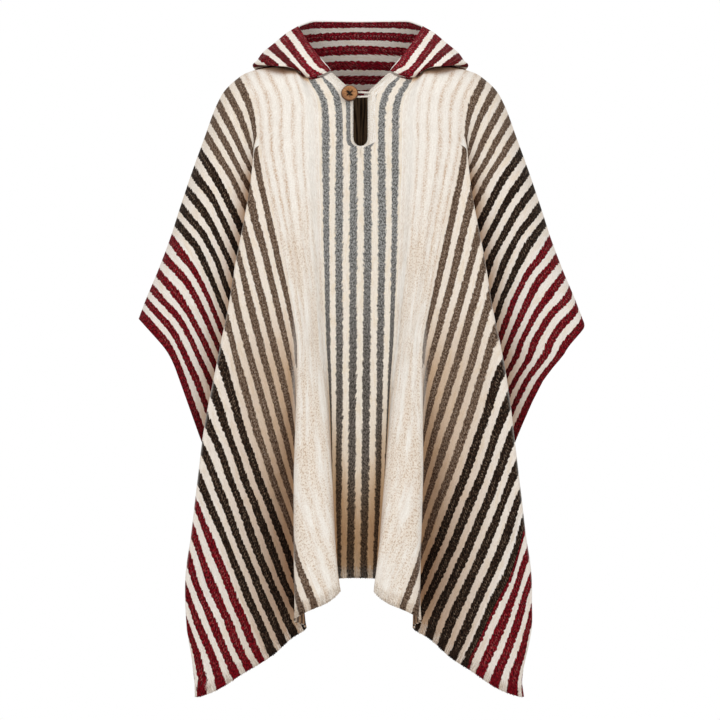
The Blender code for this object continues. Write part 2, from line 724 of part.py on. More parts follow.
def main():
    start()
    wool = material("cream_wool", (0.80, 0.74, 0.64), 0.95)
    white = material("white_wool", (0.86, 0.82, 0.75), 0.9)
    front, back = front_half(), back_half()
    surfaces = (surface(front, -1), surface(back, 1))
    cloth("front", front, -1, wool, FRONT_STRIPES)
    cloth("back", back, 1, wool, BACK_STRIPES)
    cloth("hood", hood_half(surfaces), -1, material("red_wool", (0.30, 0.02, 0.04), 0.95))
    edging(front, white)
    seat = button_seat(surfaces[0])
    button(seat, material("coconut_shell", (0.36, 0.19, 0.09), 0.45))
    button_loop(seat, white)


main()
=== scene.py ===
import math
import time

import bmesh
import bpy
import numpy as np
from mathutils import Matrix, Vector
from mathutils.bvhtree import BVHTree


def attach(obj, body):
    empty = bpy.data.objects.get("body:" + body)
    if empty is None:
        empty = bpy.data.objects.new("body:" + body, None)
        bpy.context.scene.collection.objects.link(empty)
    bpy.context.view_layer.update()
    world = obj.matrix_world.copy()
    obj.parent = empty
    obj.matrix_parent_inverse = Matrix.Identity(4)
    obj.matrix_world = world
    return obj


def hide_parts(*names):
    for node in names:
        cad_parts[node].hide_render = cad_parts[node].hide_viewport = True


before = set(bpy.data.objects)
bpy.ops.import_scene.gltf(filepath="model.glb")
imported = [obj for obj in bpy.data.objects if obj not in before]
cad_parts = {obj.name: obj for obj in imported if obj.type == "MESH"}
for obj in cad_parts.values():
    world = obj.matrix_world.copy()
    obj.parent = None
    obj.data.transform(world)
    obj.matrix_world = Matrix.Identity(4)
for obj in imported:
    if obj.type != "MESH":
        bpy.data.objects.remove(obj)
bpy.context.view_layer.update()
started = time.time()
cm = 0.01
stripePitch = 0.0235  # one coloured stripe with its gap
lastStripe = 24  # the selvedge
white = (1, 1, 1)


def report(stage):
    print(f"{time.time() - started:6.1f} s  {stage}", flush=True)


def linear(code):
    # a hex colour as the numbers that a material works with
    parts = (int(code[i : i + 2], 16) / 255 for i in (1, 3, 5))
    return tuple(p / 12.92 if p <= 0.04045 else ((p + 0.055) / 1.055) ** 2.4 for p in parts)


# Camera: a long lens level with the middle of the garment, straight in front.
view = {
    "width": 1.224,  # metres across the picture at the garment
    "middleX": -0.00085,
    "middleZ": -0.4896,
    "lens": 1000,
    "sensor": 36,
    "nearest": 0.1,
}


def makeCamera():
    data = bpy.data.cameras.new("camera")
    data.lens = view["lens"]
    data.sensor_width = view["sensor"]
    distance = view["width"] * view["lens"] / view["sensor"]
    data.clip_start = view["nearest"]
    data.clip_end = 4 * distance
    camera = bpy.data.objects.new("camera", data)
    camera.location = (view["middleX"], -distance, view["middleZ"])
    camera.rotation_euler = (math.pi / 2, 0, 0)
    bpy.context.scene.collection.objects.link(camera)
    bpy.context.scene.camera = camera


makeCamera()
report("camera")

# Guide lines of the cloth: rows of (stripe, side, drop, depth), the last three in centimetres.
# Each stripe is followed from the shoulder fold over the bend, the fold beside the arm and the
# level sections down to the hem.
frontForm = {
    "top": (
        (0, 5.0, 0.2, 7.0), (1.25, 5.8, 0.7, 7.0), (2.5, 8.3, 1.4, 5.8), (3.2, 9.9, 0.9, 4.0),
        (3.6, 10.7, 0.0, 2.2), (4, 11.2, -0.7, 0.045), (5, 13.5, -0.8, 0.045), (6.3, 17.0, -0.4, 0.045),
        (7.6, 19.6, 0.4, 0.045), (8.5, 21.3, 1.6, 0.045), (9.5, 23.1, 3.4, 0.045),
        (10.5, 24.4, 5.8, 0.045), (12.5, 26.4, 11.2, 0.045), (14.5, 28.4, 16.7, 0.045),
        (16.5, 30.4, 22.6, 0.045), (18.5, 32.2, 28.2, 0.045), (20.5, 34.3, 33.8, 0.045),
        (22.5, 36.4, 38.8, 0.045), (24, 37.6, 42.0, 0.045),
    ),
    "bend": (
        (0, 1.3, 4.8, 9.3), (1.25, 3.1, 4.8, 9.3), (2.5, 6.0, 5.1, 9.2), (4, 9.2, 4.8, 8.8),
        (6, 13.6, 4.6, 7.8), (7.6, 17.2, 5.1, 7.0), (8.5, 19.0, 6.3, 6.8), (9.5, 20.4, 8.5, 6.6),
        (10.5, 21.6, 11.2, 6.6), (12.5, 23.3, 16.2, 6.8), (14.5, 25.2, 21.8, 6.9),
        (17.5, 27.6, 30.3, 6.6), (20.5, 30.1, 38.8, 6.0), (22.5, 31.5, 44.4, 5.4), (24, 32.4, 47.8, 5.0),
    ),
    "valley": (
        (0, 0.0, 9.5, 10.6), (2.5, 5.9, 9.5, 10.6), (4, 9.2, 9.5, 10.3), (7, 15.6, 10.0, 9.0),
        (8.5, 17.9, 11.2, 8.2), (9.5, 17.5, 16.7, 8.4), (10.5, 16.8, 21.4, 8.8), (12.5, 16.5, 30.6, 9.5),
        (13.5, 17.0, 37.1, 9.9), (15.5, 18.0, 45.6, 10.0), (17.5, 18.7, 54.4, 9.3),
        (19.5, 19.0, 62.2, 8.5), (21.5, 19.6, 69.7, 7.8), (23.2, 20.1, 76.2, 6.9), (24, 20.1, 79.6, 6.3),
    ),
    "ridge": (
        (0, 0.0, 12.8, 11.2), (2.5, 5.9, 12.8, 11.2), (4, 9.2, 12.8, 10.9), (7, 15.6, 12.8, 9.6),
        (8.5, 17.9, 13.6, 9.0), (9.5, 19.0, 20.6, 10.0), (10.5, 20.1, 27.0, 10.6),
        (11.5, 21.2, 32.6, 11.1), (12.5, 22.3, 39.6, 11.7), (13.5, 23.9, 47.1, 12.1),
        (15.5, 25.9, 58.3, 12.4), (17.5, 27.3, 69.4, 11.8), (19.5, 28.3, 78.0, 10.8),
        (21.5, 29.4, 87.4, 9.4), (22.5, 29.3, 94.0, 8.2), (23.2, 28.2, 98.3, 7.0), (24, 26.4, 98.3, 5.8),
    ),
    "chest": (
        (0, 0.0, 28.6, 12.2), (2.2, 5.2, 28.6, 12.2), (5, 9.9, 28.6, 12.5), (8.5, 14.8, 28.6, 12.0),
        (10.7, 20.5, 28.6, 11.2),
    ),
    "waist": (
        (0, 0.0, 45.6, 12.3), (1.6, 3.7, 45.6, 12.3), (2.2, 5.0, 45.6, 12.4), (3.6, 6.6, 45.6, 12.8),
        (5, 8.0, 45.6, 13.3), (6.2, 9.1, 45.6, 13.5), (7, 9.9, 45.6, 13.6), (7.4, 10.4, 45.6, 13.4),
        (7.7, 10.7, 45.6, 13.2), (7.9, 10.9, 45.6, 13.1), (8.2, 11.3, 45.6, 13.0),
        (10.6, 17.0, 45.6, 12.8), (13.3, 23.5, 45.6, 12.6),
    ),
    "skirt": (
        (0, 0.0, 69.4, 10.3), (1.8, 3.9, 69.4, 10.3), (2.4, 4.6, 69.4, 10.8), (4.2, 4.5, 69.4, 13.2),
        (4.9, 5.3, 69.4, 14.2), (6.5, 8.2, 69.4, 14.9), (7.6, 10.4, 69.4, 14.4), (8.1, 10.9, 69.4, 13.6),
        (9.6, 10.4, 69.4, 10.4), (10.6, 10.2, 69.4, 8.8), (11.3, 11.3, 69.4, 8.2),
        (14.4, 19.3, 69.4, 10.4), (17.5, 27.3, 69.4, 12.3),
    ),
    "flare": (
        (0, 0.0, 81.0, 7.4), (1.6, 3.3, 81.0, 7.4), (2.2, 3.8, 81.3, 7.9), (4.4, 3.7, 82.0, 11.5),
        (5.9, 3.5, 83.2, 14.8), (7.5, 5.8, 85.4, 16.0), (9.1, 9.4, 87.2, 15.6), (9.8, 10.6, 88.0, 14.4),
        (11.5, 10.1, 88.6, 10.2), (13.5, 9.4, 89.2, 6.1), (14.2, 10.3, 90.0, 5.3),
        (18.0, 18.9, 95.2, 6.0), (21.6, 26.4, 100.0, 7.2),
    ),
    "hem": (
        (0, 0.0, 85.9, 6.5), (1.6, 3.2, 86.0, 6.5), (2.2, 3.6, 86.3, 7.0), (4.4, 3.5, 87.0, 11.0),
        (6.2, 3.0, 88.1, 15.0), (6.9, 3.9, 89.2, 15.9), (7.7, 5.3, 90.2, 16.3), (8.5, 7.0, 90.9, 16.3),
        (9.5, 9.2, 91.9, 15.8), (10.2, 10.5, 92.7, 14.6), (10.8, 10.6, 93.2, 13.0),
        (12, 10.0, 93.5, 10.2), (13.6, 9.2, 93.9, 6.6), (14.4, 9.1, 94.5, 4.9), (15, 10.0, 95.2, 4.2),
        (15.5, 11.3, 95.9, 4.0), (17.5, 15.3, 99.3, 4.2), (19.5, 19.7, 102.0, 4.8),
        (21.5, 24.7, 105.1, 5.6), (22.5, 27.2, 106.0, 6.2), (23.1, 27.9, 106.1, 6.2),
        (23.6, 26.9, 105.4, 5.0), (24, 25.5, 104.7, 4.4),
    ),
}

backForm = {
    "neck": (
        (0, 0.0, 4.2, 7.4), (1.25, 3.6, 3.8, 7.0), (2.5, 7.0, 2.4, 5.5), (3.3, 9.6, 0.6, 3.2),
    ),
    "yoke": (
        (0, 0.0, 9.0, 9.7), (2.5, 6.4, 8.4, 9.5), (4, 10.0, 7.4, 9.0), (6, 14.2, 5.6, 7.8),
        (7.6, 17.3, 5.4, 7.0),
    ),
    "chest": (
        (0, 0.0, 28.6, 10.8), (2.2, 5.5, 28.6, 10.8), (5, 11.4, 28.6, 10.9), (8.5, 16.4, 28.6, 10.6),
        (10.7, 20.2, 28.6, 10.0),
    ),
    "waist": (
        (0, 0.0, 45.6, 11.6), (2.5, 5.6, 45.6, 11.0), (5, 10.4, 45.6, 10.6), (8, 15.2, 45.6, 11.3),
        (10, 18.4, 45.6, 11.5), (13.3, 23.2, 45.6, 10.9),
    ),
    "skirt": (
        (0, 0.0, 69.4, 12.8), (1.4, 3.1, 69.4, 12.4), (2.5, 4.8, 69.4, 10.9), (3.7, 6.0, 69.4, 9.2),
        (5, 8.2, 69.4, 8.4), (7, 12.0, 69.4, 8.9), (8.4, 14.4, 69.4, 10.4), (9.6, 16.6, 69.4, 11.6),
        (10.8, 18.7, 69.4, 11.4), (12.2, 20.2, 69.4, 9.9), (13.6, 21.6, 69.4, 9.3),
        (15.2, 23.6, 69.4, 9.7), (17.5, 26.9, 69.4, 10.7),
    ),
    "hem": (
        (0, 0.0, 85.2, 13.6), (1.3, 2.9, 85.2, 13.2), (2.4, 4.4, 86.4, 11.4), (3.7, 5.0, 87.4, 8.6),
        (5, 7.0, 89.4, 7.0), (6.8, 10.6, 91.6, 7.2), (8.4, 13.0, 95.6, 9.6), (9.6, 15.0, 97.6, 11.6),
        (10.6, 16.9, 98.9, 12.0), (12, 18.4, 99.8, 9.8), (13.4, 18.8, 100.2, 7.2),
        (15, 20.2, 101.2, 5.4), (17.5, 22.4, 102.4, 4.6), (19.5, 24.2, 103.6, 4.6),
        (21.5, 25.9, 104.7, 5.0), (22.5, 26.7, 105.0, 5.4), (23.1, 27.2, 105.0, 5.2),
        (23.6, 26.4, 104.5, 4.4), (24, 25.2, 104.0, 3.8),
    ),
}

hoodForm = {
    "under": (
        (0, 5.9, -1.3, 5.9), (1.8, 9.5, -0.1, 5.6), (3.4, 11.9, -0.9, 3.8), (4.6, 13.3, -1.6, 0.9),
        (6.5, 11.6, -1.0, -4.4), (8.5, 7.0, 2.4, -8.0), (10.7, 0.0, 4.6, -8.7),
    ),
    "lip": (
        (0, 7.2, -2.8, 3.2), (1.8, 10.4, -1.0, 5.1), (3.4, 13.5, -1.0, 6.4), (4.6, 16.0, -1.2, 1.4),
        (6.5, 14.0, -0.8, -4.9), (8.5, 9.5, 2.6, -9.4), (10.7, 0.0, 5.8, -9.9),
    ),
    "side": (
        (0, 8.9, -5.1, -0.6), (1.8, 12.3, -3.4, 1.1), (3.4, 15.5, -2.7, 1.9), (4.6, 18.3, -1.2, -0.8),
        (6.5, 16.0, 0.2, -6.6), (8.5, 11.2, 3.6, -10.2), (10.7, 0.0, 7.4, -11.1),
    ),
    "crest": (
        (0, 10.6, -7.9, -6.3), (0.9, 12.6, -6.8, -5.9), (1.8, 14.3, -5.4, -5.4), (3.4, 17.2, -2.7, -5.0),
        (4.6, 17.9, -0.9, -6.0), (6.5, 15.4, 1.8, -9.6), (8.5, 11.6, 6.2, -11.3), (10.7, 0.0, 9.4, -12.3),
    ),
    "back": (
        (0, 8.2, -8.9, -9.6), (1.8, 9.6, -4.9, -11.6), (3.4, 11.5, -1.0, -12.8), (4.6, 12.4, 1.5, -13.4),
        (6.5, 11.8, 5.2, -13.9), (8.5, 9.0, 9.4, -13.6), (10.7, 0.0, 12.4, -13.6),
    ),
    "fold": (
        (0, 0.0, -8.8, -11.0), (1.8, 0.0, -4.8, -12.6), (3.4, 0.0, -0.8, -13.9), (4.6, 0.0, 2.0, -14.8),
        (6.5, 0.0, 6.6, -15.6), (8.5, 0.0, 11.2, -15.8), (10.7, 0.0, 15.2, -14.8),
    ),
}

form = {
    "lines": ("top", "bend", "valley", "ridge", "hem"),
    "shoulder": 4,  # the stripe where the neck edge crosses the shoulder
    "ply": 0.0055,  # half the distance between two layers of a pressed-back fold
    "foldSoftness": 0.0045,
    "drapeSoftness": 0.016,
    "edgeSoftness": 0.002,
    "firstTurn": 0.08,
    "turns": 9,
    "turned": (1.5, 4),  # stripes over which the slope at the neck becomes a round turn
    "turnLength": 0.012,
    "shortTurn": 0.4,
    "folded": (8.7, 10.5),  # stripes over which the drape becomes a pressed-back fold
    "lastFolded": (22.6, 23.6),
    "beforeLast": 0.05,
    "belowRidge": 0.03,
    "samples": 900,
    "overrun": 150,
    "wall": 0.0025,
    "columnsPerStripe": 5.5,
    # rows from one guide line to the next, from the shoulder to the hem
    "rows": (2, 20, 26, 5, 5, 14, 5, 5, 84),
    # how far out and how deep the back's folds are beside the front's
    "backValley": (0.985, 0.84),
    "backRidge": (0.985, 0.88),
    "backCreases": 0.8,
}
hang = {
    # heights with how far to the right the cloth hangs there from the mirrored halves
    "lean": {-0.85: -0.006, -0.72: -0.004, -0.58: -0.002, -0.30: 0.0},
    "drift": {-0.98: 0.0, -0.90: -0.0034, -0.62: -0.0034, -0.50: 0.0},
    "leanStripes": (9, 14),
    "sleeve": {
        -0.60: 0.0, -0.56: 0.001, -0.524: 0.0045, -0.503: 0.0115, -0.483: 0.020, -0.462: 0.0185,
        -0.442: 0.018, -0.40: 0.012, -0.36: 0.006, -0.30: 0.0,
    },
    "sleeveStripes": (17.5, 23.5),
    "sleeveStart": 0.045,
    "corner": {-1.065: -0.003, -1.034: -0.008, -1.013: -0.008, -0.93: 0.0},
    "cornerSides": (0.12, 0.24),
}
creases = (
    # side, stripe, where it starts and ends down the cloth, half width in stripes, depth
    (-1, 4.6, 0.10, 0.42, 0.9, -0.0022),
    (-1, 6.4, 0.16, 0.50, 0.8, -0.0018),
    (-1, 5.5, 0.24, 0.62, 1.0, 0.0024),
    (1, 4.2, 0.12, 0.38, 0.9, -0.0020),
    (1, 6.6, 0.10, 0.46, 0.9, -0.0020),
    (1, 5.2, 0.28, 0.60, 1.1, 0.0022),
    (-1, 12.4, 0.50, 0.80, 1.4, -0.0020),
    (-1, 16.3, 0.62, 0.98, 1.6, 0.0022),
    (-1, 20.4, 0.74, 1.10, 1.3, -0.0018),
    (1, 11.8, 0.46, 0.82, 1.5, -0.0022),
    (1, 15.4, 0.58, 0.92, 1.3, 0.0018),
    (1, 19.6, 0.76, 1.08, 1.5, -0.0020),
    (-1, 15.0, 0.08, 0.30, 1.2, 0.0024),
    (-1, 18.6, 0.06, 0.26, 1.3, -0.0022),
    (-1, 21.3, 0.10, 0.28, 1.1, 0.0020),
    (1, 14.2, 0.10, 0.28, 1.2, -0.0022),
    (1, 17.8, 0.06, 0.30, 1.4, 0.0024),
    (1, 21.8, 0.12, 0.30, 1.0, -0.0018),
    (-1, 1.0, 0.36, 0.66, 1.2, -0.0016),
    (1, 1.6, 0.30, 0.60, 1.0, 0.0016),
)
slit = {
    "halfWidth": 0.0136,
    "top": -0.036,
    "round": -0.106,
    "end": -0.1265,
    "neckHalf": 0.050,
    "neckTop": -0.002,
    "reach": 1.25,  # stripes pushed aside
    "measured": (0.12, -0.17),  # places further out or lower lie far from it
    "sewnPast": 0.002,
}
hood = {
    "lines": ("under", "lip", "side", "crest", "back", "fold"),
    "sewn": {0: 0, 1.8: 2.7, 3.4: 3.6, 4.6: 4.0, 6.5: 4.9, 8.5: 6.3, 10.7: 8.0},
    "lastBand": 10.7,
    "bands": 88,
    "rowsBetween": 22,
    "seamRows": 4,
    "raised": 0.0038,
    "clear": 0.0062,
    "softness": 0.008,
    "wall": 0.0024,
}


def smoothThrough(x, y):
    # a curve through the points that doesn't overshoot between them
    step = np.diff(x)
    slope = np.diff(y) / step
    tangent = np.empty(len(x))
    tangent[0], tangent[-1] = slope[0], slope[-1]
    before, after = slope[:-1], slope[1:]
    same = before * after > 0
    w1, w2 = 2 * step[1:] + step[:-1], step[1:] + 2 * step[:-1]
    shares = w1 / np.where(same, before, 1) + w2 / np.where(same, after, 1)
    tangent[1:-1] = np.where(same, (w1 + w2) / shares, 0)

    def at(value):
        i = int(np.clip(np.searchsorted(x, value) - 1, 0, len(x) - 2))
        t = (value - x[i]) / step[i]
        rise = y[i] * (1 + 2 * t) * (1 - t) ** 2 + y[i + 1] * t * t * (3 - 2 * t)
        return rise + step[i] * (tangent[i] * t * (1 - t) ** 2 - tangent[i + 1] * t * t * (1 - t))

    return at


class Guide:
    # one line across the cloth, from the centre to the selvedge
    def __init__(self, table, facing):
        stripes, *columns = np.array(table, float).T
        self.last = stripes[-1]
        self.facing = facing
        self.parts = [smoothThrough(stripes, column) for column in columns]

    def at(self, stripe):
        side, drop, depth = (part(stripe) for part in self.parts)
        return np.array((side, self.facing * depth, -drop)) * cm


def unit(vector):
    return vector / np.linalg.norm(vector)


def ramp(value, low, high):
    return np.clip((value - low) / (high - low), 0, 1)


def eased(value, low, high):
    share = ramp(value, low, high)
    return share * share * (3 - 2 * share)


def tableAt(table, value):
    return np.interp(value, list(table), list(table.values()))


def lengthsOf(path):
    # how far along a line of places each of them is
    steps = np.linalg.norm(np.diff(path, axis=0), axis=1)
    return np.concatenate(([0], np.cumsum(steps)))


def placesAt(wanted, length, path):
    # the places at the wanted lengths along a line of places
    return np.stack([np.interp(wanted, length, path[:, i]) for i in range(3)], axis=-1)


def gridFaces(rows, columns, base=0):
    # the faces between the places of a grid that are listed row by row
    corners = [base + i * columns + j for i in range(rows - 1) for j in range(columns - 1)]
    return [(a, a + columns, a + columns + 1, a + 1) for a in corners]


def clothLine(guides, stripe, facing):
    # places along one stripe, how softly each is rounded, and which of them end a run of rows
    top, bend, valley, ridge, hem = (guides[name].at(stripe) for name in form["lines"])
    run = [top]
    turned = ramp(stripe, *form["turned"])
    quarter = math.pi / 2
    for angle in (form["firstTurn"], *np.linspace(0, quarter, form["turns"])[1:]):
        flat = angle / quarter * (1 - turned)
        place = top + (bend - top) * ((1 - math.cos(angle)) * turned + flat)
        place[1] = top[1] + (bend[1] - top[1]) * (math.sin(angle) * turned + flat)
        run.append(place)
    marks = [0, 1, len(run) - 1]
    softness = list(np.linspace(form["edgeSoftness"], form["drapeSoftness"], len(run)))
    folded = ramp(stripe, *form["folded"])
    levels = [guide for guide in guides["levels"] if stripe < guide.last - form["beforeLast"]]
    below = [guide.at(stripe) for guide in levels]
    below = [place for place in below if place[2] < ridge[2] - form["belowRidge"]] + [hem]
    first = form["turnLength"] * (form["shortTurn"] + (1 - form["shortTurn"]) * folded)
    behind = np.array((0, -facing * form["ply"] * folded, 0))
    run += [
        valley + unit(bend - valley) * first + behind,
        valley,
        valley + unit(ridge - valley) * first - behind,
        ridge + unit(valley - ridge) * first + behind,
        ridge,
        ridge + unit(below[0] - ridge) * first - behind * (1 - ramp(stripe, *form["lastFolded"])),
    ]
    fold = form["foldSoftness"] + (1 - folded) * (form["drapeSoftness"] - form["foldSoftness"])
    softness += [fold] * 6 + [form["drapeSoftness"]] * len(below)
    marks += range(len(run) - 6, len(run))
    run += below
    marks.append(len(run) - 1)
    return np.array(run), np.array(softness), marks


def rounded(points, softness, marks, rows):
    # rows of places along a line of points whose corners are rounded
    length = lengthsOf(points)
    fine = np.linspace(0, length[-1], form["samples"])
    sampled = placesAt(fine, length, points)
    overrun = form["overrun"]
    extra = fine[1:overrun]
    start = sampled[0] - (sampled[1:overrun] - sampled[0])
    end = sampled[-1] + (sampled[-1] - sampled[-overrun:-1][::-1])
    places = np.concatenate((start[::-1], sampled, end))
    where = np.concatenate((-extra[::-1], fine, fine[-1] + extra))
    wanted = [length[marks[0]]]
    for a, b, count in zip(marks, marks[1:], rows):
        wanted += list(np.linspace(length[a], length[b], count + 1)[1:])
    wanted = np.array(wanted)
    soft = np.interp(wanted, length, softness)
    weight = np.exp(-0.5 * ((where[None, :] - wanted[:, None]) / soft[:, None]) ** 2)
    weight /= weight.sum(axis=1, keepdims=True)
    return weight @ places


def slitHalfWidth(height):
    # half the gap between the two edges of the front slit at a height
    if height > slit["top"]:
        rise = (height - slit["top"]) / (slit["neckTop"] - slit["top"])
        return slit["halfWidth"] + (slit["neckHalf"] - slit["halfWidth"]) * min(rise, 1)
    if height > slit["round"]:
        return slit["halfWidth"]
    closing = min((slit["round"] - height) / (slit["round"] - slit["end"]), 1)
    return slit["halfWidth"] * (1 - closing**3) ** (1 / 3)


def halfCloth(tables, levels, facing, opened):
    # rows of places for the right half of one length, from the shoulder to the hem
    stripes = np.linspace(0, lastStripe, int(lastStripe * form["columnsPerStripe"]) + 1)
    guides = {name: Guide(table, facing) for name, table in tables.items()}
    guides["levels"] = [Guide(table, facing) for table in levels]
    lines = [rounded(*clothLine(guides, stripe, facing), form["rows"]) for stripe in stripes]
    grid = np.stack(lines, axis=1)
    reach = int(np.searchsorted(stripes, slit["reach"]))
    for row in grid if opened else ():
        opening = slitHalfWidth(row[0][2])
        if opening > 0:
            edge = np.array((opening, row[0][1], row[0][2]))
            row[:reach] = edge + (row[reach] - edge) * (stripes[:reach, None] / stripes[reach])
    return grid, stripes


def hung(sign, half, down, stripesAcross, facing):
    # how far to the right the places hang from where the half and its mirror image would put them
    side, height = half[:, :, 0], half[:, :, 2]
    outer = ramp(stripesAcross, *hang["leanStripes"])[None, :]
    aside = outer * tableAt(hang["drift"], height)
    if facing < 0:
        aside = aside + (1 - outer) * tableAt(hang["lean"], height)
    if sign > 0:
        outermost = eased(stripesAcross, *hang["sleeveStripes"])[None, :]
        outermost = outermost * eased(down, 0, hang["sleeveStart"])
        aside = aside + outermost * tableAt(hang["sleeve"], height)
        aside = aside + ramp(side, *hang["cornerSides"]) * tableAt(hang["corner"], height)
    return aside


def creased(sign, down, stripesAcross):
    # soft troughs and ridges along the stripes, as heights over the cloth
    height = np.zeros(down.shape)
    for side, stripe, start, end, width, depth in creases:
        if side == sign:
            along = ramp(down, start, end)
            across = np.clip(np.abs(stripesAcross - stripe) / width, 0, 1)[None, :]
            height += depth * np.sin(math.pi * along) ** 2 * (1 - across**2) ** 2
    return height


def shareOf(table, sideShare, depthShare):
    return [(stripe, side * sideShare, drop, depth * depthShare) for stripe, side, drop, depth in table]


def between(upper, lower):
    # three levels between two that list the same features
    pairs = list(zip(upper, lower))
    shares = (0.25, 0.5, 0.75)
    return [[tuple(a + (b - a) * share for a, b in zip(*pair)) for pair in pairs] for share in shares]


def frontHalf():
    tables = {name: frontForm[name] for name in form["lines"]}
    chest, waist, skirt, flare = (frontForm[name] for name in ("chest", "waist", "skirt", "flare"))
    levels = [chest, waist, *between(waist, skirt), skirt, *between(skirt, flare), flare]
    return halfCloth(tables, levels, -1, True)


def overShoulder(neck, line):
    # the back's own rows near the neck, and the front's beyond them
    return [*neck, *(row for row in line if row[0] >= form["shoulder"] and row[0] > neck[-1][0])]


def backHalf():
    tables = {
        "top": overShoulder(backForm["neck"], frontForm["top"]),
        "bend": overShoulder(backForm["yoke"], frontForm["bend"]),
        "valley": shareOf(frontForm["valley"], *form["backValley"]),
        "ridge": shareOf(frontForm["ridge"], *form["backRidge"]),
        "hem": backForm["hem"],
    }
    return halfCloth(tables, [backForm[name] for name in ("chest", "waist", "skirt")], 1, False)


def neckPlace(sewn):
    # a place on the neck edge, counted from the front's slit over the shoulder to the nape
    if sewn <= form["shoulder"]:
        return Guide(frontForm["top"], -1).at(sewn)
    behind = overShoulder(backForm["neck"], frontForm["top"])
    return Guide(behind, 1).at(2 * form["shoulder"] - sewn)


def surfaceOf(half, facing):
    # the middle of half a length of cloth, to measure from
    faces = gridFaces(*half.shape[:2])
    if facing > 0:
        faces = [face[::-1] for face in faces]
    return BVHTree.FromPolygons([Vector(place) for row in half for place in row], faces)


def lifted(place, surfaces, clear):
    # the place, or where it clears the cloth when it lies too near
    found = min((tree.find_nearest(place) for tree in surfaces), key=lambda near: near[3])
    height = (Vector(place) - found[0]).dot(found[1])
    if found[3] > 2 * clear or height >= clear:
        return place
    return place + np.array(found[1]) * (clear - height)


def hoodHalf(surfaces):
    # half the hood: each band starts at the neck edge, turns over and ends on the fold at the back
    lines = [Guide(hoodForm[name], -1) for name in hood["lines"]]
    bands = np.linspace(0, hood["lastBand"], hood["bands"] + 1)
    columns = []
    for band in bands:
        seam = neckPlace(float(tableAt(hood["sewn"], band))) + np.array((0, 0, hood["raised"]))
        run = [seam] + [line.at(band) for line in lines]
        run.append(run[-2] * np.array((-1, 1, 1)))
        softness = np.linspace(form["edgeSoftness"], hood["softness"], len(run))
        rows = [hood["rowsBetween"]] * len(lines)
        columns.append(rounded(np.array(run), softness, range(len(lines) + 1), rows))
    half = np.stack(columns, axis=1)
    for i, row in enumerate(half[: 2 * hood["rowsBetween"]]):
        clear = hood["clear"] if i > hood["seamRows"] else hood["raised"]
        for j, place in enumerate(row):
            row[j] = lifted(place, surfaces, clear)
    half[-1, :, 0] = 0
    half[:, -1, 0] = 0
    return half, bands


front, stripes = frontHalf()
back, _ = backHalf()
surfaces = (surfaceOf(front, -1), surfaceOf(back, 1))
hoodCloth, hoodBands = hoodHalf(surfaces)
report("cloth lines")


def operator(operation, swapped=False):
    def applied(wire, other):
        values = (other, wire) if swapped else (wire, other)
        return wire.paint.math(operation, *values)

    return applied


class Wire:
    # one value in a material, so that a pattern is written as arithmetic
    def __init__(self, paint, socket):
        self.paint, self.socket = paint, socket

    def __abs__(self):
        return self.paint.math("ABSOLUTE", self)

    __add__ = operator("ADD")
    __radd__ = operator("ADD", True)
    __sub__ = operator("SUBTRACT")
    __rsub__ = operator("SUBTRACT", True)
    __mul__ = operator("MULTIPLY")
    __rmul__ = operator("MULTIPLY", True)
    __truediv__ = operator("DIVIDE")
    __gt__ = operator("GREATER_THAN")
    __lt__ = operator("LESS_THAN")


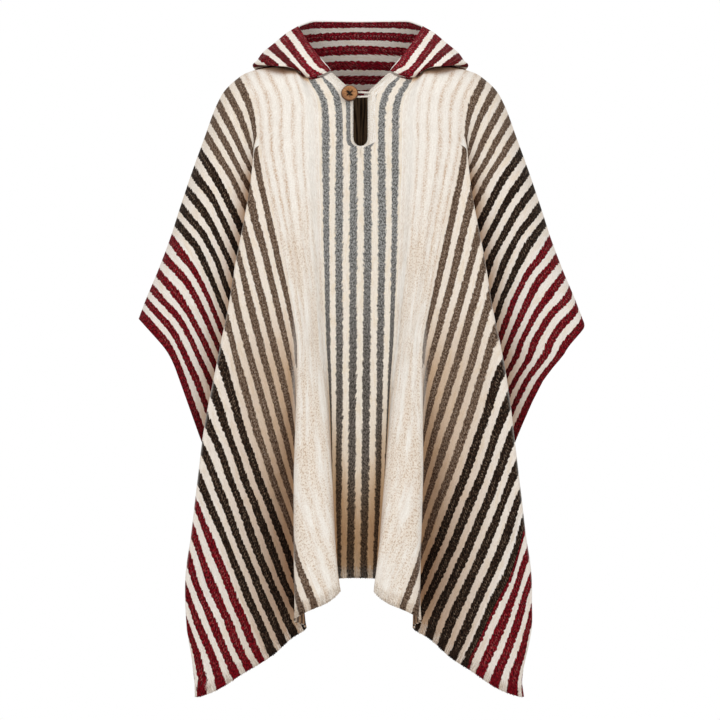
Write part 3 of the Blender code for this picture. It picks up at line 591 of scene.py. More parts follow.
class Paint:
    # a material being mixed
    def __init__(self, name, constants):
        self.material = bpy.data.materials.new(name)
        self.material.use_nodes = True
        self.tree = self.material.node_tree
        self.shader = self.tree.nodes["Principled BSDF"]
        self.putAll(self.shader.inputs, constants)

    def put(self, socket, value):
        if isinstance(value, Wire):
            self.tree.links.new(value.socket, socket)
        elif socket.type == "RGBA" and len(value) == 3:
            socket.default_value = (*value, 1)
        else:
            socket.default_value = value

    def putAll(self, sockets, values):
        for name, value in values.items():
            self.put(sockets[name], value)

    def node(self, kind, settings, sockets, output=0):
        made = self.tree.nodes.new(kind)
        for name, value in settings.items():
            setattr(made, name, value)
        self.putAll(made.inputs, sockets)
        return Wire(self, made.outputs[output])

    def math(self, operation, *values):
        return self.node("ShaderNodeMath", {"operation": operation}, dict(enumerate(values)))

    def mix(self, share, first, second, blend="MIX"):
        settings = {"data_type": "RGBA", "blend_type": blend}
        return self.node("ShaderNodeMix", settings, {0: share, 6: first, 7: second}, 2)

    def times(self, colour, tone):
        return self.mix(1.0, colour, tone, "MULTIPLY")

    def darkened(self, share, colour, tone):
        return self.mix(share, colour, self.times(colour, tone))

    def rise(self, value, low, high):
        # 0 below low, 1 above high, smooth between
        settings = {"interpolation_type": "SMOOTHSTEP"}
        return self.node("ShaderNodeMapRange", settings, {0: value, 1: low, 2: high})

    def place(self, x, y, z=0.0):
        return self.node("ShaderNodeCombineXYZ", {}, {0: x, 1: y, 2: z})

    def noise(self, place, scale, detail=2.0, roughness=0.5):
        sockets = {"Vector": place, "Scale": scale, "Detail": detail, "Roughness": roughness}
        return self.node("ShaderNodeTexNoise", {}, sockets)

    def stops(self, value, stops, interpolation):
        # a colour at each stop, held or blended up to the next
        made = self.node("ShaderNodeValToRGB", {}, {0: value})
        colours = made.socket.node.color_ramp
        colours.interpolation = interpolation
        while len(colours.elements) < len(stops):
            colours.elements.new(1)
        for element, (position, colour) in zip(colours.elements, stops):
            element.position = position
            element.color = (*colour, 1)
        return made

    def attribute(self, name, output=2):
        return self.node("ShaderNodeAttribute", {"attribute_name": name}, {}, output)

    def parts(self, name):
        # the three numbers of a vector on the points
        split = self.node("ShaderNodeSeparateXYZ", {}, {0: self.attribute(name, 1)})
        return [Wire(self, socket) for socket in split.socket.node.outputs]

    def bump(self, height, distance, under=None):
        sockets = {"Height": height, "Distance": distance, "Strength": 1.0}
        if under:
            sockets["Normal"] = under
        return self.node("ShaderNodeBump", {}, sockets)

    def finish(self, colour, normal):
        self.putAll(self.shader.inputs, {"Base Color": colour, "Normal": normal})
        return self.material


yarns = {
    "stripes": (
        # each row is the stripe that a yarn ends at, its dark and light tones and its flecks, the gaps
        # beside it lit and with painted shade beside a fold, how soft its edges are, how deep its plait is,
        # how much they waver and how many flecks it has
        (3, "#4a4946", "#aeadab", "#dedcd8", "#f7eddf", "#f3e5d0", 0.05, 0.45, 1.3, 0.3),
        (8, "#cbb092", "#ece0d0", "#f7f0e6", "#f8efe4", "#f6ebdd", 0.10, 0.20, 1.2, 0.3),
        (13, "#402d21", "#89725f", "#d2bda9", "#f6ebde", "#cbab8b", 0.035, 0.75, 0.9, 0.6),
        (18, "#0b0603", "#3d2b20", "#a58e78", "#f6ece1", "#c7a587", 0.02, 1.0, 0.8, 0.55),
        (24.5, "#380006", "#93101f", "#cf7f78", "#f8f0e8", "#dcc3ac", 0.02, 1.0, 0.8, 0.45),
    ),
    "scale": 25,  # ramps run from 0 to 1 over this many stripes
    "halfWidth": 0.262,
    "wideFrom": 13,
    "wide": 0.035,  # what the stripes beyond that one gain in half width towards the hem
    "swell": 0.15,
    "lobe": 0.0105,
    "slant": 0.55,
    "bead": 0.0053,
    "zigzag": 0.055,
    "pale": (3, 8),
    "streaks": {
        # along which stripes the pale bands are streaked
        3.0: 0.0, 3.15: 0.45, 3.4: 0.1, 4.05: 0.05, 4.25: 0.85, 4.42: 0.1, 4.75: 0.1,
        5.0: 0.8, 5.25: 0.1, 5.65: 0.1, 5.9: 1.0, 6.2: 0.15, 6.5: 0.1, 6.75: 1.0,
        7.05: 0.15, 7.3: 0.1, 7.6: 0.9, 7.9: 0.2, 8.0: 0.0,
    },
    "paleTones": ("#fffaf2", "#c6a381", "#ead3b8", "#b8946f"),  # plain, streaked, tinted, dotted
    "hood": ("#480008", "#ad1c30", "#e2a09a", "#fff8ef"),
    "hoodWeave": (0.02, 1.0, 0.7, 0.55),  # edges, plait, waver and flecks, as in the rows above
    "hoodHalfWidth": 0.31,
    "hoodFirst": 0.35,
    "hoodPitch": 1.04,
    "odd": (18, 19, 0.11),  # where the odd stripe starts and ends, and where its thin edge starts
    "hemmed": ("#fdf9f3", "#e2d3c0"),
    # the colour of the painted highlight on the folds' edges
    "rim": "#f4efe8",
    # dark and light cords of the painted shade inside the back behind the neck opening
    "inside": ("#3d3024", "#836c52"),
    "relief": (0.0011, 0.0008),
}
noises = {
    # waves across and down the cloth, an offset, detail and roughness; the first two are measured
    # across in stripes and all the rest in metres
    "drift": (1.3, 14, 0, 1, 0.5),
    "wobble": (4, 130, 0, 2, 0.6),
    "speck": (470, 470, 0, 2, 0.5),
    "strand": (900, 60, 0, 2, 0.5),
    "grain": (430, 320, 5.1, 1, 0.5),
    "fleck": (560, 360, 3.7, 1, 0.5),
    "patch": (140, 34, 8.0, 2, 0.5),
    "band": (70, 9, 2.0, 2, 0.6),
    "cords": (420, 12, 0, 1, 0.5),
}
tones = {
    # what is left of a colour's red, green and blue where it is darkened
    "gap": (0.92, 0.84, 0.70),
    "thread": (0.52, 0.42, 0.32),
    # yarn, hoodYarn, fold and centreFold below are painted shade: deep in folds, in the hood and low in the
    # centre valley
    "yarn": (0.50, 0.44, 0.40),
    "hoodYarn": (0.60, 0.50, 0.46),
    "fold": (0.60, 0.43, 0.31),
    "centreFold": (0.84, 0.68, 0.50),
}
edges = {
    # where each share starts and ends its rise from 0 to 1
    "combed": (0.010, 0.026),
    "wide": (0.45, 0.90),
    "oddTop": (0.40, 0.50),
    "oddLow": (0.75, 0.95),
    "bead": (-0.1, 0.9),
    "beadSide": (0.02, 0.075),
    "beadPatch": (0.38, 0.60),
    "tone": (0.36, 0.64),
    "fleck": (0.60, 0.70),
    "thread": (0.38, 0.60),
    "streakDown": (0.26, 0.5),
    "streakGrain": (0.40, 0.60),
    "streakPatch": (0.34, 0.58),
    "low": (0.20, 0.42),
    "dot": (0.50, 0.64),
    "dotBand": (0.36, 0.60),
    "tint": (0.36, 0.64),
    "selvedge": (23.56, 23.62),
    "warm": (0.48, 0.66),
    "hoodHem": (0.05, 0.08),
    # hoodDeep to centreStripe place painted shade in the hood, the body's folds and the centre valley, and
    # the painted highlight on fold edges
    "hoodDeep": (0.2, 0.9),
    "paintedShade": (0.12, 0.75),
    "middle": (0.24, 0.60),
    "middleStripe": (2.8, 3.2),
    "rim": (0.3, 0.6),
    "fold": (0.05, 0.70),
    "centreFold": (0.02, 0.35),
    "centreStripe": (2.7, 3.7),
    # within and withinDown: where the painted shade behind the neck opening lies
    "within": (2.6, 4.2),
    "withinDown": (0.17, 0.26),
    "cords": (0.42, 0.58),
    "bulge": (0.1, 1.0),
}


def grey(value):
    return (value, value, value)


class Cloth(Paint):
    # wool woven in stripes: slanting lobes of coloured yarn with beads, and paler yarn in the gaps
    def __init__(self, name):
        wool = {"Roughness": 0.95, "Specular IOR Level": 0.08, "Sheen Weight": 0.02, "Sheen Roughness": 0.5}
        super().__init__(name, wool)
        self.signed, self.down, hem = self.parts("weave")
        self.shade = self.attribute("recess")
        self.side = self.signed * stripePitch
        self.drift = (self.noised("drift", self.signed) - 0.5) * 0.14
        self.stripe = abs(self.signed) + self.drift
        self.wobble = self.noised("wobble", self.signed) - 0.5
        self.speck, self.strand, self.grain, self.fleck, self.patch = (
            self.noised(name, self.side) for name in ("speck", "strand", "grain", "fleck", "patch")
        )
        self.combed = 1 - self.risen("combed", hem)
        self.thread = self.risen("thread", self.strand * 0.5 + self.speck * 0.5)

    def noised(self, name, across):
        x, y, z, detail, roughness = noises[name]
        return self.noise(self.place(across * x, self.down * y, z), 1.0, detail, roughness)

    def risen(self, name, value):
        return self.rise(value, *edges[name])

    def stepped(self, column):
        # what a column of the table of stripes says of the yarn here
        rows = yarns["stripes"]
        starts = [0] + [row[0] / yarns["scale"] for row in rows[:-1]]
        values = [row[column] for row in rows]
        values = [linear(value) if isinstance(value, str) else grey(value) for value in values]
        return self.stops(self.kind / yarns["scale"], list(zip(starts, values)), "CONSTANT")

    def hoodStripes(self):
        pitch = yarns["hoodPitch"]
        count = (self.stripe - yarns["hoodFirst"]) / pitch + 0.5
        self.across = (self.math("FRACT", count) - 0.5) * pitch
        self.halfWidth = yarns["hoodHalfWidth"]
        self.dark, self.light, self.flecks, self.gap = (linear(code) for code in yarns["hood"])
        self.soft, depth, self.waver, self.flecked = yarns["hoodWeave"]
        self.depth = (1 - self.combed) * depth

    def bodyStripes(self):
        self.across = self.math("FRACT", self.stripe) - 0.5
        spare = settled["spare"][0]
        self.even, brown, _ = self.parts("plain")
        self.kind = self.stripe + (self.stripe > spare) * (self.stripe < spare + 1) * (brown > 0.5)
        self.neck, self.hemWidth, paintedRollShade = self.parts("neck")
        self.dark, self.light, self.flecks = (self.stepped(column) for column in (1, 2, 3))
        # painted shade: the gaps take their shaded tone on the panel beside the roll
        self.gap = self.mix(paintedRollShade, self.stepped(4), self.stepped(5))
        self.soft, depth, self.waver, self.flecked = (self.stepped(column) for column in (6, 7, 8, 9))
        self.depth = depth * (1 - self.combed)
        wide = self.risen("wide", self.down) * (self.kind > yarns["wideFrom"]) * yarns["wide"]
        self.halfWidth = wide + yarns["halfWidth"]

    def oddStripe(self):
        # the first stripe of the last yarn is dark with a thin edge of it low on the right
        first, last, edge = yarns["odd"]
        odd = (self.signed > first) * (self.signed < last) * self.risen("oddTop", self.down)
        odd = odd * (1 - (self.across > edge) * (1 - self.risen("oddLow", self.down)))
        dark, light, flecks = (linear(code) for code in yarns["stripes"][3][1:4])
        self.dark = self.mix(odd, self.dark, dark)
        self.light = self.mix(odd, self.light, light)
        self.flecks = self.mix(odd, self.flecks, flecks)

    def plait(self):
        # two rows of slanting lobes side by side, with beads between them
        reach = abs(self.across) / self.halfWidth
        turn = self.down / yarns["lobe"] + (self.across > 0) * 0.5
        turn = turn + reach * yarns["slant"] + self.wobble * 1.2
        self.lobe = abs(self.math("SINE", turn * math.pi))
        swell = (self.lobe - 0.6) * self.depth * yarns["swell"]
        edge = (swell + self.wobble * self.waver + 1) * self.halfWidth
        self.shown = 1 - self.rise(abs(self.across), edge - self.soft, edge + self.soft)
        self.bulge = 1 - self.risen("bulge", reach)

    def plaitYarn(self):
        beat = self.down / yarns["bead"] + self.wobble * 1.5
        zigzag = self.math("SINE", beat * math.pi) * yarns["zigzag"]
        bead = self.risen("bead", self.math("COSINE", beat * 2 * math.pi))
        bead = bead * (1 - self.risen("beadSide", abs(self.across - zigzag)))
        bead = bead * self.risen("beadPatch", self.patch) * self.depth
        tone = self.risen("tone", self.grain * 0.7 + self.speck * 0.3)
        # painted shade: the yarn is darker where its lobes meet and lighter on their bulges
        tone = tone * (1 - (1 - self.lobe) * self.depth * 0.75)
        flecks = self.math("MAXIMUM", bead, self.risen("fleck", self.fleck) * 0.6)
        flecks = flecks * self.flecked * (1 - self.combed * 0.8)
        return self.mix(flecks, self.mix(tone, self.dark, self.light), self.flecks)

    def gapYarn(self):
        warmth = self.risen("warm", self.patch) * 0.4
        return self.darkened(warmth, self.gap, tones["gap"])

    def paleYarn(self):
        # fine streaks along the pale stripes, with dots and a warmer tint lower down
        stops = [(place / yarns["scale"], grey(share)) for place, share in yarns["streaks"].items()]
        streak = self.stops((self.even + self.drift) / yarns["scale"], stops, "LINEAR")
        streak = streak * (0.95 - 0.6 * self.risen("streakDown", self.down))
        streak = streak * (self.risen("streakGrain", self.grain) * 0.6 + 0.4)
        streak = streak * (self.risen("streakPatch", self.patch) * 0.45 + 0.55)
        band = self.noised("band", self.side)
        low = self.risen("low", self.down)
        dots = self.risen("dot", self.grain) * self.risen("dotBand", band) * low * 0.55
        tint = self.risen("tint", band) * low * 0.36
        plain, streaked, tinted, dotted = (linear(code) for code in yarns["paleTones"])
        yarn = self.mix(streak, plain, streaked)
        yarn = self.mix(tint, yarn, tinted)
        return self.mix(dots, yarn, dotted)

    def woven(self, gap, yarn):
        # the coloured yarn over the gaps' yarn, which is darker between its threads
        lows = 0.24 + self.combed * 0.45
        gap = self.darkened((1 - self.thread) * lows, gap, tones["thread"])
        return self.mix(self.shown, gap, yarn)

    def slitHem(self, colour):
        # the turned hem of the neck slit, and a painted highlight along the edges of the folds
        plain, low = (linear(code) for code in yarns["hemmed"])
        hemmed = 1 - self.rise(self.neck, self.hemWidth - 0.0005, self.hemWidth + 0.0005)
        colour = self.mix(hemmed, colour, self.mix(1 - self.thread, plain, low))
        # painted highlight: a pale colour laid along the edges of the folds
        rim = self.attribute("rim") * (self.risen("rim", self.speck) * 0.4 + 0.6)
        return self.mix(rim, colour, linear(yarns["rim"]))

    def bodyShade(self, colour):
        # painted shade: darker deep in a fold and low down the middle stripes, the coloured yarn more than
        # the gaps
        paintedShade = self.risen("paintedShade", self.shade) * 0.75
        # painted shade on the coloured yarn low down the middle stripes
        middle = self.risen("middle", self.down) * (1 - self.risen("middleStripe", abs(self.signed)))
        paintedShade = self.math("MAXIMUM", paintedShade, middle) * self.shown
        colour = self.slitHem(self.darkened(paintedShade, colour, tones["yarn"]))
        # painted shade, warm, where the cloth is shut in, with more of it low in the centre valley
        colour = self.times(colour, self.mix(self.risen("fold", self.shade), white, tones["fold"]))
        low = self.risen("centreFold", self.shade) * (1 - self.risen("centreStripe", abs(self.signed)))
        return self.times(colour, self.mix(low, white, tones["centreFold"]))

    def hoodShade(self, colour):
        hemmed = 1 - self.risen("hoodHem", abs(self.signed))
        colour = self.mix(hemmed, colour, linear(yarns["hemmed"][0]))
        # painted shade: the hood's coloured yarn is darker where the hood is shut in
        deep = self.risen("hoodDeep", self.shade) * self.shown
        return self.darkened(deep, colour, tones["hoodYarn"])

    def paintedNeckShade(self, colour):
        # painted shade: the back's inner side behind the neck opening is painted dark, with corded streaks
        within = (1 - self.risen("within", abs(self.signed))) * (1 - self.risen("withinDown", self.down))
        dark, light = (linear(code) for code in yarns["inside"])
        cords = self.risen("cords", self.noised("cords", self.side))
        return self.mix(within, colour, self.mix(cords, dark, light))

    def finished(self, colour):
        coarse, fine = yarns["relief"]
        normal = self.bump(self.lobe * self.bulge * self.depth + self.thread * 0.15, coarse)
        normal = self.bump(self.speck * 0.6 + self.strand * 0.4, fine, normal)
        return self.finish(colour, normal)


def bodyWool(name, inside=False):
    cloth = Cloth(name)
    cloth.bodyStripes()
    cloth.oddStripe()
    cloth.plait()
    yarn = cloth.plaitYarn()
    first, last = yarns["pale"]
    pale = (cloth.kind > first) * (cloth.kind < last)
    selvedge = cloth.risen("selvedge", abs(cloth.signed) + cloth.wobble * 0.2)
    cloth.shown = cloth.math("MAXIMUM", cloth.shown * (1 - pale), selvedge)
    gap = cloth.mix(pale, cloth.gapYarn(), cloth.paleYarn())
    colour = cloth.bodyShade(cloth.woven(gap, yarn))
    # painted shade behind the neck opening, on the back's inner side only
    if inside:
        colour = cloth.paintedNeckShade(colour)
    return cloth.finished(colour)


def hoodWool(name):
    cloth = Cloth(name)
    cloth.hoodStripes()
    cloth.plait()
    colour = cloth.woven(cloth.gapYarn(), cloth.plaitYarn())
    return cloth.finished(cloth.hoodShade(colour))


def runs(half):
    # length along each stripe from the shoulder
    steps = np.linalg.norm(np.diff(half, axis=0), axis=2)
    return np.concatenate((np.zeros((1, half.shape[1])), np.cumsum(steps, axis=0)))


def normalsOf(half, facing):
    down = np.gradient(half, axis=0)
    across = np.gradient(half, axis=1)
    normal = np.cross(down, across) * -facing
    return normal / np.maximum(np.linalg.norm(normal, axis=2, keepdims=True), 1e-12)


folds = {
    # where the edge of the front's roll lies: heights with the stripe there, and how far out it is
    "edgeStripe": {-0.93: 10.8, -0.88: 9.8, -0.69: 8.3, -0.456: 7.9, -0.30: 8.2},
    "edge": 0.109,
    "edgeWidth": 1.6,
    # outside, shadow and below: where the painted shade on the panel beside the roll reaches
    "outside": 0.3,
    "shadow": 0.13,
    "below": (-0.50, -0.38),
    # the next five: widths, row, stripes and strength of the painted highlight along the roll's edge and the
    # ridge
    "rim": 0.0042,
    "ridgeRow": 77,
    "ridgeRim": 2.2,
    "ridgeStripes": (9, 10.5),
    "pale": 0.42,
    # rows and drops over which painted shade darkens the sleeve towards the fold beside the body, and how
    # much
    "sleeveFrom": (22, 44),
    "sleeveTo": (58, 74),
    "sleeveDrop": (0.10, 0.20),
    "sleeveShade": 0.42,
}


def foldTones(half, stripesAcross, facing):
    # how much painted shade each place beside the front's roll gets, and how much painted highlight the
    # folds' edges get
    side, height = half[:, :, 0], half[:, :, 2]
    stripe = np.broadcast_to(stripesAcross, side.shape)
    low = 1 - ramp(height, *folds["below"])
    rows = np.arange(len(half))[:, None]
    ridge = np.exp(-(((rows - folds["ridgeRow"]) / folds["ridgeRim"]) ** 2))
    ridge = ridge * ramp(stripe, *folds["ridgeStripes"])
    if facing > 0:
        return np.zeros(side.shape), ridge * folds["pale"]
    edgeStripe = tableAt(folds["edgeStripe"], height)
    outside = ramp(stripe, edgeStripe, edgeStripe + folds["outside"])
    paintedRollShade = outside * low * np.clip(1 - (side - folds["edge"]) / folds["shadow"], 0, 1)
    edge = np.exp(-(((side - folds["edge"]) / folds["rim"]) ** 2)) * low
    edge = edge * (np.abs(stripe - edgeStripe) < folds["edgeWidth"])
    return paintedRollShade, np.maximum(ridge, edge) * folds["pale"]


openness = {"rays": 48, "reach": 0.26, "every": 3, "off": 0.004}


def spreadRays(count):
    # directions over a half sphere, more of them near its top
    golden = math.pi * (3 - math.sqrt(5))
    for i in range(count):
        out = math.sqrt((i + 0.5) / count)
        yield Vector((out * math.cos(i * golden), out * math.sin(i * golden), math.sqrt(1 - out * out)))


def recessOf(half, normals, tree):
    # how shut in each place is on its outer side, from 0 in the open to 1
    rows, columns, _ = half.shape
    rowsAt, columnsAt = (np.unique([*range(0, n, openness["every"]), n - 1]) for n in (rows, columns))
    rays = list(spreadRays(openness["rays"]))
    coarse = np.zeros((len(rowsAt), len(columnsAt)))
    for i, row in enumerate(rowsAt):
        for j, column in enumerate(columnsAt):
            normal = Vector(normals[row, column])
            turn = normal.to_track_quat("Z", "Y").to_matrix()
            origin = Vector(half[row, column]) + normal * openness["off"]
            for ray in rays:
                hit = tree.ray_cast(origin, turn @ ray, openness["reach"])[3]
                if hit is not None:
                    coarse[i, j] += 1 - hit / openness["reach"]
    coarse /= len(rays)
    across = np.stack([np.interp(range(columns), columnsAt, row) for row in coarse])
    return np.stack([np.interp(range(rows), rowsAt, column) for column in across.T], axis=1)


def wholeTree(halves):
    places, faces = [], []
    for half in halves:
        for sign in (1, -1):
            faces += gridFaces(*half.shape[:2], len(places))
            places += [Vector((sign * x, y, z)) for x, y, z in half.reshape(-1, 3)]
    return BVHTree.FromPolygons(places, faces)


hemBand = {
    # how wide the slit's turned hem shows at each height, left and right of the slit
    -1: {-0.150: 0.0015, -0.118: 0.0020, -0.100: 0.0026, -0.052: 0.0034, -0.040: 0.0120, 0.0: 0.0150},
    1: {-0.150: 0.0015, -0.132: 0.0020, -0.126: 0.0040, -0.120: 0.0130, -0.070: 0.0110, 0.0: 0.0150},
}


def slitDistance(half):
    # how far each place is from the edge of the neck slit
    edge = np.array([row[0] for row in half if row[0][2] > slit["end"] - slit["sewnPast"]])
    far = np.full(half.shape[:2], 1.0)
    side, height = slit["measured"]
    near = (half[:, :, 2] > height) & (half[:, :, 0] < side) & (half[:, :, 1] < 0)
    starts, steps = edge[:-1], np.diff(edge, axis=0)
    for i, j in zip(*np.nonzero(near)):
        away = half[i, j] - starts
        along = np.clip((away * steps).sum(axis=1) / (steps * steps).sum(axis=1), 0, 1)
        far[i, j] = np.linalg.norm(away - steps * along[:, None], axis=1).min()
    return far


def addMesh(name, places, faces, material, points):
    # a mesh with values on its points
    mesh = bpy.data.meshes.new(name)
    mesh.from_pydata(places, [], faces)
    for attribute, values in points.items():
        vector = np.ndim(values) == 2
        layer = mesh.attributes.new(attribute, "FLOAT_VECTOR" if vector else "FLOAT", "POINT")
        layer.data.foreach_set("vector" if vector else "value", np.ravel(values))
    mesh.shade_smooth()
    mesh.materials.append(material)
    made = bpy.data.objects.new(name, mesh)
    bpy.context.scene.collection.objects.link(made)
    return made


def facedOut(made, merged=0.0):
    # every face turned outwards, after double points are merged where a distance is given
    work = bmesh.new()
    work.from_mesh(made.data)
    if merged:
        bmesh.ops.remove_doubles(work, verts=work.verts, dist=merged)
    bmesh.ops.recalc_face_normals(work, faces=work.faces)
    work.to_mesh(made.data)
    work.free()
    return made


flap = {
    # straight stripes across the turned-back flap: a place on the first, its direction, the distance
    # to the second and how those beyond it draw together
    "start": (0.114, 0.078),
    "along": (-0.578, -0.817),
    "across": (0.817, -0.578),
    "first": 0.025,
    "others": 0.0265,
    "closing": 0.17,
    "spacing": (0.010, 0.030),
    "from": (30, 44),
    "to": (84, 100),
    "bands": (4.2, 5.2),
    "arch": 0.26,
    "archHalf": 0.095,
    "archRows": (96, 112),
    "archBands": (0, 0.8),
}


def hoodStripe(half, band):
    # the hood's own count of stripes, straight on the flap and arched a little inside
    place = half[:, :, (0, 2)] - np.array(flap["start"])
    off, along = place @ np.array(flap["across"]), place @ np.array(flap["along"])
    spacing = np.clip(flap["others"] - flap["closing"] * along, *flap["spacing"])
    first = flap["first"]
    count = np.where(off < first, off / first, 1 + (off - first) / spacing)
    straight = np.maximum(yarns["hoodFirst"] + count * yarns["hoodPitch"], 0)
    row = np.arange(len(half))[:, None]
    share = eased(row, *flap["from"]) * (1 - eased(row, *flap["to"])) * (1 - ramp(band, *flap["bands"]))
    arched = flap["arch"] * np.clip(1 - (half[:, :, 0] / flap["archHalf"]) ** 2, 0, 1)
    arched = arched * eased(row, *flap["archRows"]) * ramp(band, *flap["archBands"])
    return straight * share + (band + arched) * (1 - share)


settled = {
    # how far the woven stripes lie off an even count, left and right, on the sleeves and below them:
    # at each height, what is added to the count of each stripe
    (-1, "sleeve"): {
        -0.150: {11.5: 0.2, 12.5: 0.2, 14.5: 0.0},
        -0.184: {11.5: 0.3, 12.5: 0.3, 13.5: 0.1, 15.5: -0.15},
        -0.252: {13.5: 0.3, 14.5: 0.3, 15.5: 0.05, 16.5: -0.1, 17.5: 0.0},
        -0.320: {15.5: 0.5, 16.5: 0.35, 17.5: 0.15, 18.5: -0.1, 19.5: -0.1},
        -0.388: {17.5: 0.35, 18.5: 0.35, 19.5: 0.2, 20.5: -0.1, 21.5: -0.15, 22.5: 0.0},
        -0.456: {19.5: 0.5, 20.5: 0.35, 21.5: 0.3, 22.5: 0.0},
        -0.524: {20.5: 0.6, 21.5: 0.55, 22.5: 0.25, 23.5: 0.0},
        -0.620: {22.5: 0.3, 23.5: 0.0},
    },
    (1, "sleeve"): {
        -0.150: {11.5: 0.2, 12.5: 0.2, 14.5: 0.0},
        -0.184: {11.5: 0.4, 12.5: 0.35, 13.5: 0.2, 14.5: 0.0},
        -0.252: {13.5: 0.45, 14.5: 0.3, 15.5: 0.05, 16.5: -0.1, 17.5: 0.0},
        -0.320: {14.5: 0.7, 15.5: 0.5, 16.5: 0.25, 17.5: -0.05, 18.5: -0.3, 19.5: -0.2},
        -0.388: {16.5: 0.3, 17.5: 0.3, 18.5: 0.2, 19.5: 0.0, 20.5: -0.2, 21.5: -0.2},
        -0.456: {18.5: 0.2, 19.5: 0.3, 20.5: 0.5, 21.5: 0.4, 22.5: 0.15, 23.5: -0.1},
        -0.524: {20.5: 0.3, 21.5: 0.3, 22.5: 0.25, 23.5: 0.0},
        -0.620: {22.5: 0.2, 23.5: 0.0},
    },
    (-1, "below"): {
        -0.135: {5.0: 0.0, 8.5: -1.0, 9.5: -1.0},
        -0.184: {5.0: 0.0, 8.5: -1.1, 9.5: -1.0},
        -0.252: {5.0: 0.0, 8.5: -1.0, 9.5: -1.0, 10.5: -0.8},
        -0.320: {5.0: 0.0, 8.5: -0.9, 9.5: -0.7, 10.5: -0.7, 11.5: -0.5},
        -0.388: {5.0: 0.0, 8.5: -0.6, 9.5: -0.5, 10.5: -0.35, 11.5: -0.4, 12.5: -0.45},
        -0.456: {5.0: 0.0, 8.5: -0.4, 9.5: -0.3, 10.5: -0.15, 12.5: -0.15, 13.5: -0.1},
        -0.524: {5.0: 0.0, 8.5: -0.4, 9.5: -0.4, 10.5: -0.3, 11.5: -0.1, 13.5: -0.1},
        -0.592: {5.0: 0.0, 8.5: -0.6, 10.5: -0.5, 11.5: -0.2, 12.5: -0.1, 14.5: -0.1},
        -0.660: {5.0: 0.0, 8.5: -0.8, 11.5: -0.35, 12.5: -0.1, 14.5: 0.1, 16.5: 0.15},
        -0.728: {5.0: 0.0, 8.5: -0.8, 12.5: -0.2, 13.5: 0.0, 15.5: 0.25, 17.5: 0.2},
        -0.796: {5.0: 0.0, 8.5: -0.7, 13.5: -0.1, 15.5: 0.15, 17.5: 0.4, 18.5: 0.3, 19.5: 0.1},
        -0.864: {5.0: 0.0, 8.5: -0.3, 14.5: -0.2, 16.5: 0.35, 17.5: 0.45, 18.5: 0.45, 20.5: 0.0},
        -0.932: {5.0: 0.0, 8.5: 0.1, 15.5: 0.0, 17.5: 0.5, 19.5: 0.5, 20.5: 0.35, 21.5: 0.1},
        -0.991: {17.5: 0.2, 18.5: 0.3, 20.5: 0.45, 21.5: 0.45, 22.5: 0.3},
        -1.030: {19.5: 0.4, 20.5: 0.5, 22.5: 0.35},
        -1.055: {20.5: 0.45, 21.5: 0.35, 22.5: 0.0, 23.5: -0.1},
    },
    (1, "below"): {
        -0.135: {5.0: 0.0, 8.5: -0.9, 9.5: -1.0},
        -0.184: {5.0: 0.0, 8.5: -1.0, 9.5: -1.1},
        -0.252: {5.0: 0.0, 8.5: -1.0, 9.5: -1.0, 10.5: -1.0},
        -0.320: {5.0: 0.0, 8.5: -0.95, 9.5: -0.9, 10.5: -0.85, 11.5: -0.9},
        -0.388: {5.0: 0.0, 8.5: -0.75, 9.5: -0.7, 10.5: -0.55, 12.5: -0.8},
        -0.456: {5.0: 0.0, 8.5: -0.5, 9.5: -0.45, 10.5: -0.3, 12.5: -0.3, 13.5: -0.5},
        -0.524: {5.0: 0.0, 8.5: -0.4, 10.5: -0.4, 12.5: -0.3, 14.5: -0.4},
        -0.592: {5.0: 0.0, 8.5: -0.6, 10.5: -0.45, 12.5: -0.35, 13.5: -0.4, 14.5: -0.5},
        -0.660: {5.0: 0.0, 8.5: -0.8, 11.5: -0.45, 13.5: -0.35, 15.5: -0.5, 16.5: -0.5},
        -0.728: {5.0: 0.0, 8.5: -0.9, 12.5: -0.4, 14.5: -0.3, 16.5: -0.45, 17.5: -0.4},
        -0.796: {5.0: 0.0, 8.5: -0.9, 13.5: -0.45, 15.5: -0.3, 17.5: -0.45, 19.5: -0.75},
        -0.864: {5.0: 0.0, 8.5: -0.5, 14.5: -0.35, 16.5: -0.2, 18.5: -0.4, 19.5: -0.7, 20.5: -0.6},
        -0.932: {5.0: 0.0, 8.5: -0.2, 16.5: -0.1, 18.5: -0.15, 19.5: -0.3, 20.5: -0.5, 21.5: -0.6},
        -0.991: {17.5: -0.2, 18.5: -0.15, 19.5: -0.3, 20.5: -0.45, 21.5: -0.55, 22.5: -0.75},
        -1.025: {19.5: -0.4, 21.5: -0.5, 22.5: -0.65},
    },
    "rows": (55, 76),
    "from": (3.2, 5.5),  # stripes nearer the middle keep the even count
    "spare": (7.0, -0.50),  # on the front, the last of the pale stripes is as brown as the next down to here
    "spareRow": 72,
}


def settledOf(sign, region, height, stripe):
    rows = settled[sign, region]
    heights = sorted(rows)
    values = np.stack([tableAt(rows[at], stripe[0]) for at in heights])
    place = np.interp(height, heights, range(len(heights)))
    low = np.minimum(place.astype(int), len(heights) - 2)
    share = place - low
    columns = np.arange(height.shape[1])[None, :]
    return values[low, columns] * (1 - share) + values[low + 1, columns] * share


def brownOf(half):
    below = np.arange(len(half))[:, None] >= settled["spareRow"]
    return np.where(below & (half[:, :, 2] > settled["spare"][1]), 1.0, 0.0)


def bodyWeave(sign, half, down, stripesAcross, facing):
    # the stripe, the length down it and the distance to the hem at each place
    stripe = np.broadcast_to(stripesAcross, down.shape)
    height = half[:, :, 2]
    below = eased(np.arange(len(half))[:, None], *settled["rows"])
    added = settledOf(sign, "sleeve", height, stripe) * (1 - below)
    added = added + settledOf(sign, "below", height, stripe) * below
    added = added * (eased(stripe, *settled["from"]) if facing < 0 else 0)
    return np.dstack((sign * (stripe + added), down, down[-1] - down))


